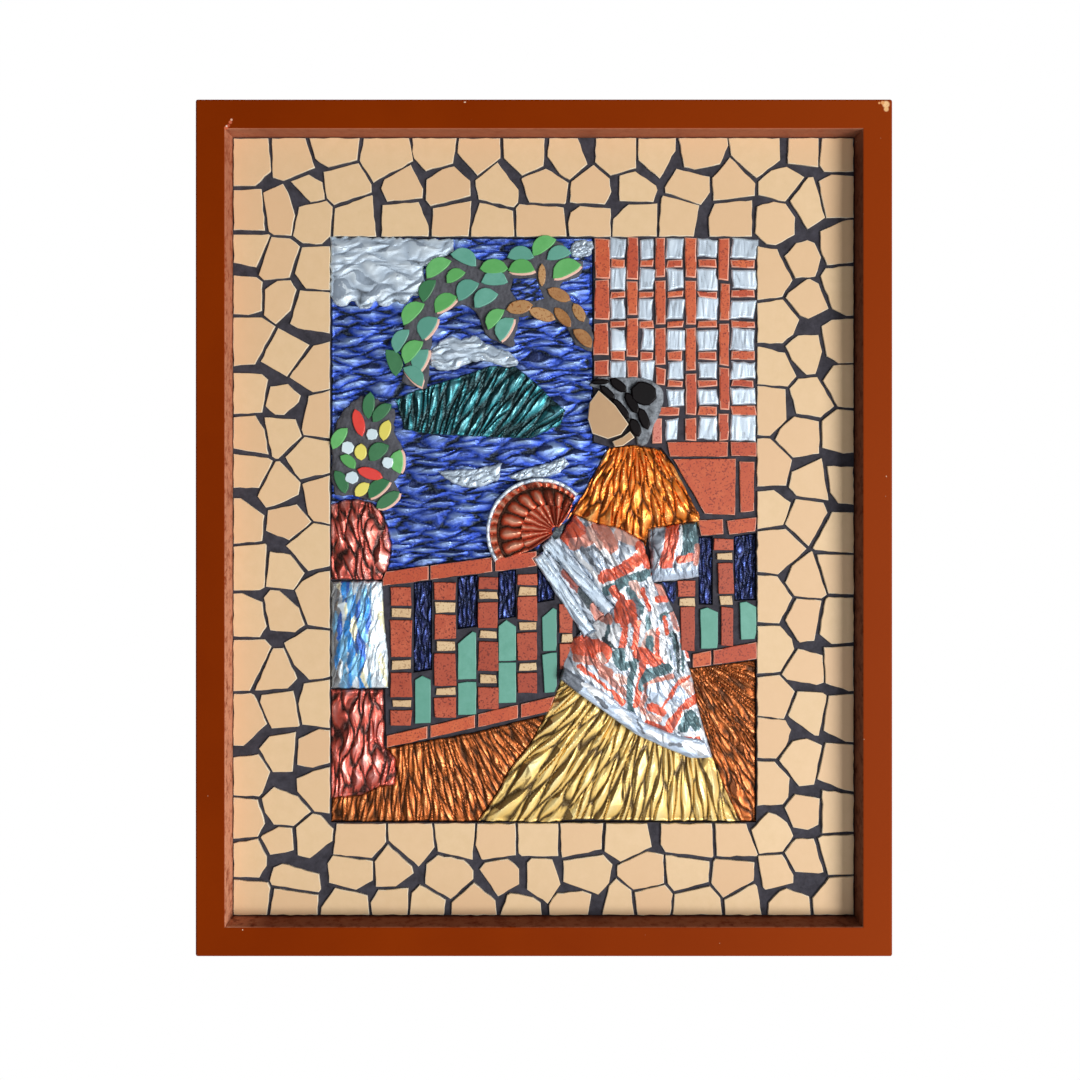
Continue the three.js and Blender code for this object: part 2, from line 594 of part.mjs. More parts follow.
add('shawl_foil', cutFor(
  relief({
    outline: OUTLINE.shawl,
    lay: straightLay({ outline: OUTLINE.shawl, across: 8, along: 9, lean: 22 }),
    edge: 15, peak: 24, shoulder: 24, fold: 0.6, cross: 0.3,
  }),
  [OUTLINE.sleeve, ...Object.values(BANDS)],
), 'printedFoil');

Object.entries(BANDS).forEach(([name, outline], i) => {
  const lay = straightLay({ outline, across: 2.4, along: 14, lean: i ? 33 : 41 });
  const band = relief({ outline, lay, edge: 15.4, peak: 18.4, shoulder: 4, fold: 0.3 });
  add(name, i ? cutFor(band, [BANDS.shawl_band_upper]) : band, 'silverFoil');
});

add('sleeve_foil', relief({
  outline: OUTLINE.sleeve,
  lay: straightLay({ outline: OUTLINE.sleeve, across: 6, along: 8, lean: 8 }),
  edge: 16, peak: 24, shoulder: 14, fold: 0.5, cross: 0.3,
}), 'printedFoil');

const fanLayout = {
  centre: FAN.pivot, left: -238, right: -40, columns: 40, near: 3, far: 62, rings: 4,
};
add('fan_foil', cutFor(
  relief({
    outline: FAN_FOIL, lay: fanLay(fanLayout), base: DEPTH.tileTop + GAP,
    edge: 18, peak: 22, shoulder: 12, fold: 0.6,
  }),
  [BANDS.shawl_band_upper, BANDS.shawl_band_lower, OUTLINE.shawl],
), 'fanFoil');
add('fan_rim', cutFor(
  prism(FAN_RIM, DEPTH.tileTop + GAP, 20),
  [BANDS.shawl_band_upper, BANDS.shawl_band_lower, OUTLINE.shawl],
), 'silverFoil');

add('face_tile', prism(HEAD.face, DEPTH.onGrout, DEPTH.faceTop), 'beige');
add('neck_tile', cutFor(
  prism(HEAD.neck, DEPTH.onGrout, DEPTH.neckTop),
  [HEAD.face, OUTLINE.bodice],
), 'beige');
add('hair_grout', cutFor(
  prism(HEAD.mound, DEPTH.onGrout, DEPTH.hairTop),
  [HEAD.face, HEAD.neck, OUTLINE.bodice],
), 'lightGrout');
HAIR_TILES.forEach((outline, i) => {
  const tile = prism(outline, DEPTH.hairTop + GAP, DEPTH.hairTileTop);
  add(`hair_tile_${i + 1}`, cutFor(tile, [HEAD.face]), 'black');
});

// ---- Modelled grout that carries the leaves ----

function addLeafBed(name, outline, cutters) {
  const lay = straightLay({ outline, across: 9, along: 9 });
  const bed = relief({ outline, lay, base: DEPTH.onSea, edge: 15.6, peak: 18, shoulder: 7, cross: 0.2 });
  add(name, cutFor(bed, cutters), 'grout');
}

addLeafBed('canopy_grout', CANOPY, []);
addLeafBed('bush_grout', BUSH, [OUTLINE.pillarTop]);

export default panel;
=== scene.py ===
"""Looks of a framed mosaic panel, built round its CAD frame.

The panel is a lacquered box frame round a bed of grout, set with snapped tile and crumpled coloured
foil. Places are millimetres: x to the right, z up, and depth forward of the wall. They become metres
where a mesh is made. A sheet of foil or a bed of grout takes its outline from its CAD node.
"""

import logging
import math
from collections.abc import Callable
from dataclasses import dataclass, field
from enum import Enum

import bmesh
import bpy
import numpy as np
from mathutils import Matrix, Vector, geometry


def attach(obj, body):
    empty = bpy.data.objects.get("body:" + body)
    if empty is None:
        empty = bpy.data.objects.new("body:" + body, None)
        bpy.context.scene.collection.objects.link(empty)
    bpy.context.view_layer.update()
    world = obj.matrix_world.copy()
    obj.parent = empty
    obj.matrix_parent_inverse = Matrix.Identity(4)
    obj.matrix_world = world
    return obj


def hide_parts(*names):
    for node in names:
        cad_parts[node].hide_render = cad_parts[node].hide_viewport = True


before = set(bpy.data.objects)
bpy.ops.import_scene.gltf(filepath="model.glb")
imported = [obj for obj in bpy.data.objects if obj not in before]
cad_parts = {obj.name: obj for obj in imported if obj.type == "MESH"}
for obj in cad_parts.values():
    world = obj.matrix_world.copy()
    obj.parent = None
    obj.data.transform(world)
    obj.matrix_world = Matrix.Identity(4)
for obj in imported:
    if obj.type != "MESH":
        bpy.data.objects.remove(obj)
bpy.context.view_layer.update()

log = logging.getLogger("mosaic_panel")

MM = 0.001
SEED = 41
BODY = "root"

Point = tuple[float, float]
Outline = list[Point]
Range = tuple[float, float]
Box = tuple[float, float, float, float]
Colour = tuple[int, int, int]
Chance = np.random.Generator
Socket = bpy.types.NodeSocket
Feed = Socket | Colour | float
Piece = bpy.types.Object


# ---- Driving sizes ----


@dataclass(frozen=True)
class PanelSizes:
    """The sizes that the parts of the panel share."""

    opening_half_width: float = 228.5
    opening_half_height: float = 286.0
    rail_face: float = 21.5
    rail_depth: float = 35.0
    rabbet_width: float = 6.0
    window_left: float = -156.5
    window_right: float = 156.5
    window_bottom: float = -217.5
    window_top: float = 212.5
    grout_top: float = 14.5
    tile_top: float = 16.2
    tile_back: float = 11.5
    tile_seat: float = 13.9


PANEL = PanelSizes()


# ---- Finishes ----


def linear(colour: Colour) -> tuple[float, float, float, float]:
    """Turn a colour of 0 to 255 into the linear colour that a shader takes.

    Args:
        colour: Red, green and blue as seen on a screen.

    Returns:
        Red, green, blue and an alpha of one.
    """
    parts = [c / 255 for c in colour]
    curved = [c / 12.92 if c <= 0.04045 else ((c + 0.055) / 1.055) ** 2.4 for c in parts]
    return (*curved, 1.0)


class Graph:
    """The node graph of one material, with short ways to add what the finishes share."""

    def __init__(self, name: str) -> None:
        """Start a material that holds only its output and its shader.

        Args:
            name: The material's name.
        """
        self.material = bpy.data.materials.new(f"{name}_finish")
        self.material.use_nodes = True
        self.tree = self.material.node_tree
        self.shader = self.tree.nodes["Principled BSDF"]

    def feed(self, target: Socket, source: Feed) -> None:
        """Link an input to an output, or set it to one colour or number.

        Args:
            target: The input.
            source: The output, the colour or the number.
        """
        if isinstance(source, Socket):
            self.tree.links.new(source, target)
        else:
            target.default_value = linear(source) if isinstance(source, tuple) else source

    def node(self, kind: str, feeds: dict[str | int, Feed] | None = None, **settings: str) -> bpy.types.Node:
        """Add a node.

        Args:
            kind: The node's type without its ShaderNode prefix.
            feeds: What its inputs take, under their names or numbers.
            **settings: Properties of the node.

        Returns:
            The node.
        """
        made = self.tree.nodes.new("ShaderNode" + kind)
        for name, value in settings.items():
            setattr(made, name, value)
        for name, source in (feeds or {}).items():
            self.feed(made.inputs[name], source)
        return made

    def place(self) -> Socket:
        """Return the point on the piece, in metres."""
        return self.node("TexCoord").outputs["Object"]

    def attribute(self, name: str, output: str = "Fac") -> Socket:
        """Return what the mesh carries under a name: its value, or its Color."""
        return self.node("Attribute", attribute_name=name).outputs[output]

    def noise(self, scale: float, detail: float = 4.0, rough: float = 0.6, upright: float = 1.0) -> Socket:
        """Add cloudy noise over the piece.

        Args:
            scale: Cells to the metre.
            detail: Number of finer layers.
            rough: Weight of the finer layers.
            upright: Less than one draws the noise out upwards into streaks.

        Returns:
            The noise's value.
        """
        place = self.node("Mapping", {"Vector": self.place()})
        place.inputs["Scale"].default_value = (1.0, 1.0, upright)
        return self.node("TexNoise", {
            "Vector": place.outputs["Vector"], "Scale": scale, "Detail": detail, "Roughness": rough,
        }).outputs["Fac"]

    def ramp(self, value: Socket, stops: list[tuple[float, Colour]]) -> Socket:
        """Turn a value into a colour.

        Args:
            value: The value, from 0 to 1.
            stops: Places on the ramp and their colours.

        Returns:
            The colour.
        """
        made = self.node("ValToRGB", {"Fac": value})
        elements = made.color_ramp.elements
        while len(elements) < len(stops):
            elements.new(0.5)
        for element, (place, colour) in zip(elements, stops):
            element.position = place
            element.color = linear(colour)
        return made.outputs["Color"]

    def span(self, value: Socket, low: float, high: float, to_low: float = 0.0,
             to_high: float = 1.0) -> Socket:
        """Map a value from one range to another, clamped.

        Args:
            value: The value.
            low: Start of its range.
            high: End of its range.
            to_low: What the start becomes.
            to_high: What the end becomes.

        Returns:
            The mapped value.
        """
        return self.node("MapRange", {
            "Value": value, "From Min": low, "From Max": high, "To Min": to_low, "To Max": to_high,
        }).outputs["Result"]

    def mix(self, share: Socket, first: Socket | Colour, second: Socket | Colour) -> Socket:
        """Return two colours mixed, with the second one's share."""
        made = self.node("Mix", {"Factor": share, "A": first, "B": second}, data_type="RGBA")
        return made.outputs["Result"]

    def times(self, first: Socket, second: Socket) -> Socket:
        """Return two values multiplied."""
        return self.node("Math", {0: first, 1: second}, operation="MULTIPLY").outputs[0]

    def near(self, point: tuple[float, float, float], reach: float) -> Socket:
        """Mark the surface near a point.

        Args:
            point: The point, in metres.
            reach: How far away the mark ends, in metres.

        Returns:
            One close to the point, falling to nothing.
        """
        made = self.node("VectorMath", {0: self.place()}, operation="DISTANCE")
        made.inputs[1].default_value = point
        return self.span(made.outputs["Value"], reach, reach * 0.6)

    def bump(self, height: Socket, distance: float, strength: float = 1.0) -> None:
        """Roughen the surface by a height of 0 to 1 that stands for a distance in metres."""
        made = self.node("Bump", {"Height": height, "Distance": distance, "Strength": strength})
        self.feed(self.shader.inputs["Normal"], made.outputs["Normal"])

    def shade(self, colour: Socket | Colour, **values: float) -> bpy.types.Material:
        """Finish the shader.

        Args:
            colour: Its base colour.
            **values: Numbers for its other inputs, with underscores for spaces.

        Returns:
            The material.
        """
        for name, value in {"Base Color": colour, **values}.items():
            self.feed(self.shader.inputs[name.replace("_", " ")], value)
        return self.material


@dataclass(frozen=True)
class FoilFinish:
    """Coloured metal foil: dark in its creases, as painted shade and partly a dark patina, with painted
    highlights on its ridges and painted shade on the facets turned from the light.
    """

    name: str
    crease: Colour
    body: Colour
    ridge: Colour
    # The colour of the painted shade on facets turned from the light.
    away: Colour
    slot: str | None = None
    metallic: float = 0.6
    roughness: float = 0.36
    # Facets whose number is below this take the painted shade.
    turned_away: float = 0.42
    # The weight of the painted shade in broad patches.
    patches: float = 0.5
    stops: tuple[float, float, float] = (0.06, 0.24, 0.8)
    printed: bool = False

    def build(self) -> bpy.types.Material:
        """Build the material.

        Returns:
            The material.
        """
        graph = Graph(self.name)
        fold = graph.attribute("fold")
        facet = graph.attribute("tint")
        # Painted light: the crease colour is painted shade in the creases, partly a dark patina, and the
        # colour on the ridges is a painted highlight.
        body = graph.ramp(fold, list(zip(self.stops, (self.crease, self.body, self.ridge))))
        # Painted shade: facets turned from the light take the darker away colour.
        shaded = graph.ramp(fold, [(self.stops[0], self.crease), (self.stops[1] * 2, self.away)])
        turned = graph.span(facet, self.turned_away, self.turned_away - 0.1, 0.0, 0.9)
        colour = graph.mix(turned, body, shaded)
        # Painted shade in broad random patches.
        patch = graph.span(graph.noise(28, 3), 0.4, 0.7, 0.0, self.patches)
        colour = graph.mix(patch, colour, shaded)
        if self.printed:
            # Painted shade on the print: darker in the creases and on the facets turned from the light.
            deep = graph.span(fold, 0.0, 0.3, 0.4, 0.0)
            ink = graph.mix(deep, graph.attribute("print", "Color"), self.crease)
            print_painted_shade = graph.span(facet, self.turned_away, self.turned_away - 0.1, 0.0, 0.4)
            ink = graph.mix(print_painted_shade, ink, self.crease)
            colour = graph.mix(graph.attribute("inked"), colour, ink)
        # Painted highlights: fine random specks of the colour on the ridges.
        highlight_specks = graph.span(graph.noise(900, 3), 0.35, 0.75)
        colour = graph.mix(graph.span(highlight_specks, 0, 1, 0.0, 0.12), colour, self.ridge)
        graph.bump(graph.noise(1400, 4), 0.00009, 0.5)
        return graph.shade(colour, Metallic=self.metallic, Roughness=self.roughness, Specular_IOR_Level=0.25)


@dataclass(frozen=True)
class TileFinish:
    """Snapped wall tile: a mottled face, each piece a little different."""

    name: str
    face: Colour
    mottle: Colour
    other: Colour
    slot: str | None = None
    speckle: Colour | None = None
    roughness: float = 0.5
    grain: float = 120.0
    gloss: float = 0.45
    bumpiness: float = 0.00006

    def build(self) -> bpy.types.Material:
        """Build the material.

        Returns:
            The material.
        """
        graph = Graph(self.name)
        cloud = graph.span(graph.noise(self.grain, 5, 0.65), 0.35, 0.72)
        colour = graph.mix(cloud, self.face, self.mottle)
        colour = graph.mix(graph.span(graph.attribute("tint"), 0.2, 1.0, 0.0, 0.85), colour, self.other)
        if self.speckle:
            spots = graph.span(graph.noise(760, 2, 0.5), 0.56, 0.66)
            colour = graph.mix(spots, colour, self.speckle)
        graph.bump(graph.noise(520, 5), self.bumpiness, 0.6)
        return graph.shade(colour, Roughness=self.roughness, Specular_IOR_Level=self.gloss)


@dataclass(frozen=True)
class GroutFinish:
    """Sanded grout, cloudy and gritty."""

    name: str
    dark: Colour
    light: Colour
    slot: str

    def build(self) -> bpy.types.Material:
        """Build the material.

        Returns:
            The material.
        """
        graph = Graph(self.name)
        cloud = graph.span(graph.noise(160, 6, 0.7), 0.3, 0.7)
        colour = graph.mix(cloud, self.dark, self.light)
        grit = graph.span(graph.noise(2600, 2), 0.5, 0.75, 0.0, 0.5)
        colour = graph.mix(grit, colour, self.light)
        graph.bump(graph.noise(1500, 6, 0.75), 0.0004, 0.8)
        return graph.shade(colour, Roughness=0.88, Specular_IOR_Level=0.3)


@dataclass(frozen=True)
class LacquerFinish:
    """Satin stained wood, chipped at two corners, with painted light: rosier to the right, painted shade
    inside the right and bottom rails, paler inside the top one, and pale down its left inner side, partly
    wear.
    """

    name: str = "red_brown_lacquer"
    deep: Colour = (122, 40, 0)
    warm: Colour = (132, 46, 0)
    rosy: Colour = (142, 54, 8)
    worn: Colour = (206, 142, 112)
    shaded: Colour = (70, 22, 10)
    bare: Colour = (232, 200, 168)
    slot: str = "frame_lacquer"
    # Chips and gouges; the tiny whitish spot at (-227.5, 288.0) is a painted glint in a gouge.
    chips: tuple[tuple[Point, float, Colour], ...] = (
        ((-227.8, 286.8), 1.7, (206, 104, 72)), ((-226.2, 288.4), 1.4, (190, 84, 56)),
        ((-224.8, 290.8), 1.5, (206, 104, 72)), ((-224.0, 292.6), 1.0, (230, 176, 150)),
        ((-227.5, 288.0), 0.8, (244, 214, 196)), ((245.2, 303.6), 3.0, (238, 192, 138)),
        ((245.4, 300.2), 2.1, (230, 180, 124)), ((242.8, 304.8), 1.6, (224, 158, 100)),
        ((240.4, 304.6), 1.0, (224, 158, 100)),
    )

    def build(self) -> bpy.types.Material:
        """Build the material.

        Returns:
            The material.
        """
        graph = Graph(self.name)
        cloud = graph.span(graph.noise(6, 4, 0.6), 0.35, 0.65)
        colour = graph.mix(cloud, self.deep, self.warm)
        parts = graph.node("SeparateXYZ", {0: graph.place()})
        x, z = parts.outputs["X"], parts.outputs["Z"]
        # Painted light and reflection: the lacquer grows rosier towards the right, the lit side.
        painted_light_share = graph.span(x, -0.05, 0.26, 0.0, 0.8)
        colour = graph.mix(painted_light_share, colour, self.rosy)
        normal = graph.node("NewGeometry").outputs["Normal"]
        facing = graph.node("VectorMath", {0: normal, 1: graph.place()}, operation="DOT_PRODUCT")
        inner = graph.span(facing.outputs["Value"], -0.08, -0.16)
        left = graph.span(x, -0.2, -0.226, 0.3, 1.0)
        lower = graph.span(z, 0.25, -0.1, 0.55, 0.95)
        right = graph.span(x, 0.2, 0.226)
        below = graph.span(z, -0.27, -0.285, 0.0, 0.5)
        above = graph.span(z, 0.27, 0.285, 0.0, 0.3)
        # Painted shade on the inner walls of the right and bottom rails.
        colour = graph.mix(graph.times(inner, right), colour, self.shaded)
        colour = graph.mix(graph.times(inner, below), colour, self.shaded)
        # The inner walls of the top rail are painted paler: painted light, partly a grout smear.
        colour = graph.mix(graph.times(inner, above), colour, self.worn)
        # Pale wear down the left inner wall, partly painted light from the right.
        worn = graph.times(inner, graph.times(left, lower))
        rubbed_and_lit = graph.times(worn, graph.span(graph.noise(160, 5, 0.7), 0.3, 0.52))
        colour = graph.mix(rubbed_and_lit, colour, self.worn)
        for (right_by, up_by), size, tone in self.chips:
            disc = graph.near((right_by * MM, -PANEL.rail_depth * MM, up_by * MM), size * MM)
            chip = graph.times(disc, graph.span(graph.noise(900, 3), 0.3, 0.36))
            colour = graph.mix(chip, colour, tone)
        specks = graph.span(graph.noise(300, 1, 0.3), 0.85, 0.87)
        colour = graph.mix(specks, colour, self.bare)
        graph.bump(graph.noise(40, 4), 0.00015, 0.3)
        return graph.shade(colour, Roughness=0.5, Specular_IOR_Level=0.03)


@dataclass(frozen=True)
class BoardFinish:
    """Plain hardboard, brown and a little streaky."""

    name: str = "hardboard_back"
    dark: Colour = (134, 96, 60)
    light: Colour = (168, 128, 86)
    slot: str = "backing_board"

    def build(self) -> bpy.types.Material:
        """Build the material.

        Returns:
            The material.
        """
        graph = Graph(self.name)
        share = graph.span(graph.noise(90, 6, 0.5, upright=0.15), 0.3, 0.7)
        colour = graph.mix(share, self.dark, self.light)
        graph.bump(graph.noise(1100, 4), 0.0001, 0.5)
        return graph.shade(colour, Roughness=0.8)


READY: dict[str, bpy.types.Material] = {}


class Finish(Enum):
    """Every finish on the panel."""

    LACQUER = LacquerFinish()
    BOARD = BoardFinish()
    GROUT = GroutFinish("blue_grey_grout", (40, 38, 44), (70, 68, 77), "grout")
    BED_GROUT = GroutFinish("modelled_grout", (60, 59, 64), (96, 97, 104), "grout")
    LIGHT_GROUT = GroutFinish("pale_grey_grout", (26, 24, 28), (170, 178, 186), "light_grout")
    BEIGE = TileFinish("beige_tile", (222, 190, 146), (228, 196, 154), (220, 180, 138))
    SKIN = TileFinish("skin_tile", (184, 148, 110), (190, 154, 114), (182, 146, 106), slot="beige_tile")
    BEIGE_EDGE = TileFinish(
        "snapped_beige_edge", (236, 222, 196), (214, 190, 158), (236, 222, 196), slot="beige_tile",
    )
    TERRACOTTA = TileFinish(
        "terracotta_tile", (194, 84, 46), (214, 108, 62), (178, 68, 40), speckle=(136, 44, 26),
        roughness=0.55, bumpiness=0.00012,
    )
    DEEP_TERRACOTTA = TileFinish(
        "deep_terracotta_tile", (176, 74, 46), (200, 98, 66), (160, 62, 38), slot="terracotta_tile",
        speckle=(108, 30, 18), roughness=0.55, bumpiness=0.00012,
    )
    TERRACOTTA_EDGE = TileFinish(
        "snapped_terracotta_edge", (236, 180, 158), (206, 120, 92), (234, 170, 146),
        slot="terracotta_tile",
    )
    ROSE_TILE = TileFinish(
        "rose_tile", (206, 120, 104), (216, 136, 118), (198, 108, 92), slot="terracotta_tile",
        speckle=(170, 74, 58),
    )
    SAND = TileFinish(
        "sand_tile", (214, 182, 138), (202, 168, 124), (220, 192, 150), slot="beige_tile",
        speckle=(170, 134, 96),
    )
    SAGE = TileFinish(
        "sage_tile", (90, 156, 136), (106, 170, 152), (86, 150, 132), slot="green_tile", roughness=0.4,
    )
    BRIGHT_GREEN = TileFinish(
        "bright_green_tile", (94, 172, 96), (112, 188, 112), (86, 162, 86), slot="green_tile",
        roughness=0.4,
    )
    DARK_GREEN = TileFinish(
        "dark_green_tile", (48, 108, 66), (58, 120, 76), (60, 122, 80), slot="green_tile", roughness=0.4,
    )
    PALE_EDGE = TileFinish(
        "pale_tile_edge", (232, 178, 158), (222, 160, 138), (238, 214, 200), slot="beige_tile",
    )
    BROWN = TileFinish(
        "brown_tile", (172, 124, 76), (140, 92, 48), (190, 148, 100), speckle=(142, 84, 36),
        roughness=0.35,
    )
    RED = TileFinish(
        "red_tile", (224, 66, 58), (230, 78, 66), (216, 58, 52), slot="bright_tile", roughness=0.3,
    )
    YELLOW = TileFinish(
        "yellow_tile", (224, 212, 98), (230, 220, 112), (214, 200, 88), slot="bright_tile",
        roughness=0.35,
    )
    NUGGET = TileFinish(
        "white_nugget", (214, 232, 238), (224, 240, 244), (204, 224, 232), slot="bright_tile",
        roughness=0.2,
    )
    BLACK = TileFinish("black_tile", (10, 5, 7), (16, 9, 11), (6, 3, 5), roughness=0.4, gloss=0.12)
    BLUE_FOIL = FoilFinish(
        "blue_foil", (2, 2, 10), (44, 82, 210), (180, 212, 255), (12, 14, 80), turned_away=0.4,
        stops=(0.13, 0.28, 0.76),
    )
    NAVY_FOIL = FoilFinish(
        "navy_foil", (4, 2, 10), (18, 20, 70), (120, 150, 240), (6, 4, 20), slot="blue_foil",
        turned_away=0.5, stops=(0.14, 0.4, 0.85),
    )
    SILVER_FOIL = FoilFinish(
        "silver_foil", (84, 92, 102), (184, 202, 220), (236, 248, 255), (154, 170, 188), metallic=0.4,
        stops=(0.04, 0.16, 0.8),
    )
    PANE_FOIL = FoilFinish(
        "pane_foil", (150, 160, 170), (206, 222, 236), (232, 244, 254), (184, 198, 212),
        slot="silver_foil", metallic=0.35, patches=0.9, turned_away=0.3, stops=(0.02, 0.1, 0.9),
    )
    TEAL_FOIL = FoilFinish(
        "teal_foil", (0, 4, 6), (8, 110, 120), (164, 240, 250), (0, 30, 34), turned_away=0.5,
        stops=(0.14, 0.36, 0.92),
    )
    RED_FOIL = FoilFinish(
        "red_foil", (30, 6, 3), (216, 90, 74), (255, 196, 184), (140, 44, 28), turned_away=0.46,
        patches=0.3, stops=(0.1, 0.28, 0.8),
    )
    ROSE_FOIL = FoilFinish(
        "rose_foil", (40, 7, 3), (230, 96, 78), (255, 196, 188), (156, 52, 36), slot="red_foil",
        turned_away=0.44, patches=0.3, stops=(0.1, 0.28, 0.8),
    )
    STREAKED_FOIL = FoilFinish(
        "streaked_foil", (80, 92, 110), (206, 222, 230), (250, 252, 254), (170, 182, 194), metallic=0.3,
        patches=0.3, printed=True,
    )
    COPPER_FOIL = FoilFinish(
        "copper_foil", (40, 14, 2), (176, 88, 34), (232, 160, 104), (104, 46, 12), turned_away=0.46,
        stops=(0.08, 0.28, 0.8),
    )
    GOLD_FOIL = FoilFinish(
        "gold_foil", (72, 46, 14), (250, 208, 120), (255, 242, 180), (128, 90, 38), metallic=0.35,
        turned_away=0.42, patches=0.1, stops=(0.08, 0.2, 0.8),
    )
    ORANGE_FOIL = FoilFinish(
        "orange_foil", (84, 28, 0), (252, 132, 38), (255, 202, 124), (164, 68, 10), turned_away=0.4,
        patches=0.1, stops=(0.08, 0.2, 0.8),
    )
    PRINTED_FOIL = FoilFinish(
        "printed_foil", (70, 78, 90), (190, 202, 216), (240, 246, 252), (142, 152, 168), metallic=0.35,
        patches=0.3, printed=True,
    )
    RUSSET_FOIL = FoilFinish(
        "russet_foil", (30, 4, 0), (212, 76, 42), (255, 190, 158), (146, 42, 16), turned_away=0.2,
        patches=0.15, stops=(0.22, 0.5, 0.94),
    )

    def material(self) -> bpy.types.Material:
        """Find the finish's material, made the first time it is asked for.

        Returns:
            The material.
        """
        name = self.value.name
        if name not in READY:
            READY[name] = self.value.build()
        return READY[name]


# ---- Outlines, in millimetres ----


def chance(*names: object) -> Chance:
    """Return the random source that belongs to some names, the same on every run."""
    text = "/".join(str(name) for name in names)
    return np.random.default_rng([SEED, *text.encode()])


def box(left: float, right: float, bottom: float, top: float) -> Outline:
    """Return the corners of an upright rectangle, anticlockwise."""
    return [(left, bottom), (right, bottom), (right, top), (left, top)]


def turned(points: Outline, centre: Point, degrees: float) -> Outline:
    """Return points turned anticlockwise about the origin and carried to a centre."""
    c, s = math.cos(math.radians(degrees)), math.sin(math.radians(degrees))
    return [(centre[0] + x * c - z * s, centre[1] + x * s + z * c) for x, z in points]


LENS_STEPS = 7


def lens(centre: Point, length: float, width: float, degrees: float, flatness: float) -> Outline:
    """Return a leaf outline between two bowed sides.

    Args:
        centre: Its centre.
        length: From tip to tip.
        width: Across the middle.
        degrees: How far it is turned from lying along x.
        flatness: How far the lower side bows, against the upper one.

    Returns:
        Its corners, anticlockwise.
    """
    along = [-1 + 2 * i / LENS_STEPS for i in range(LENS_STEPS)]
    share = 1 / (1 + flatness)
    bow = [(1 - abs(t) ** 2.2) ** 0.7 for t in along]
    lower = [(t * length / 2, -width * (1 - share) * b) for t, b in zip(along, bow)]
    upper = [(-t * length / 2, width * share * b) for t, b in zip(along, bow)]
    return turned(lower + upper, centre, degrees)


def sides(points: Outline) -> list[tuple[Point, Point, np.ndarray, float]]:
    """Walk round an outline.

    Args:
        points: The outline.

    Returns:
        The start, end, run and length of each side.
    """
    ends = points[1:] + points[:1]
    runs = [np.subtract(end, start) for start, end in zip(points, ends)]
    return [(start, end, run, float(np.hypot(*run))) for start, end, run in zip(points, ends, runs)]


def snapped(corners: Outline, source: Chance, step: float, waver: float) -> Outline:
    """Give an outline the slightly wavering sides of snapped tile.

    Args:
        corners: The outline's corners.
        source: The random source.
        step: Length of one straight stretch.
        waver: How far a side wavers.

    Returns:
        The outline with more points.
    """
    made: Outline = []
    for start, _, run, length in sides(corners):
        pieces = max(1, round(length / step))
        normal = np.array([run[1], -run[0]]) / max(length, 1e-6)
        for i in range(pieces):
            shift = source.normal(0, waver) if i else source.normal(0, waver / 3)
            made.append(tuple(np.add(start, run * i / pieces) + normal * shift))
    return made


def jogged(corners: Outline, source: Chance, spread: float) -> Outline:
    """Return corners that have each strayed a little."""
    return [(x + source.normal(0, spread), z + source.normal(0, spread)) for x, z in corners]


def clipped(points: Outline, at: Point, towards: Point) -> Outline:
    """Cut an outline along a line and keep the side that the line's normal points away from.

    Args:
        points: A convex outline.
        at: A point on the line.
        towards: The line's normal, which points at what is cut away.

    Returns:
        The outline that is left.
    """
    kept: Outline = []
    over = [(x - at[0]) * towards[0] + (z - at[1]) * towards[1] for x, z in points]
    for i, point in enumerate(points):
        j = (i + 1) % len(points)
        if over[i] <= 0:
            kept.append(point)
        if (over[i] < 0) != (over[j] < 0) and over[i] != over[j]:
            share = over[i] / (over[i] - over[j])
            kept.append(tuple(np.add(point, share * np.subtract(points[j], point))))
    return kept


def area_of(points: Outline) -> float:
    """Return an outline's area, which is positive when it runs anticlockwise."""
    x, z = np.array(points).T
    return 0.5 * float(np.sum(x * np.roll(z, -1) - np.roll(x, -1) * z))


# ---- Modelling operations ----


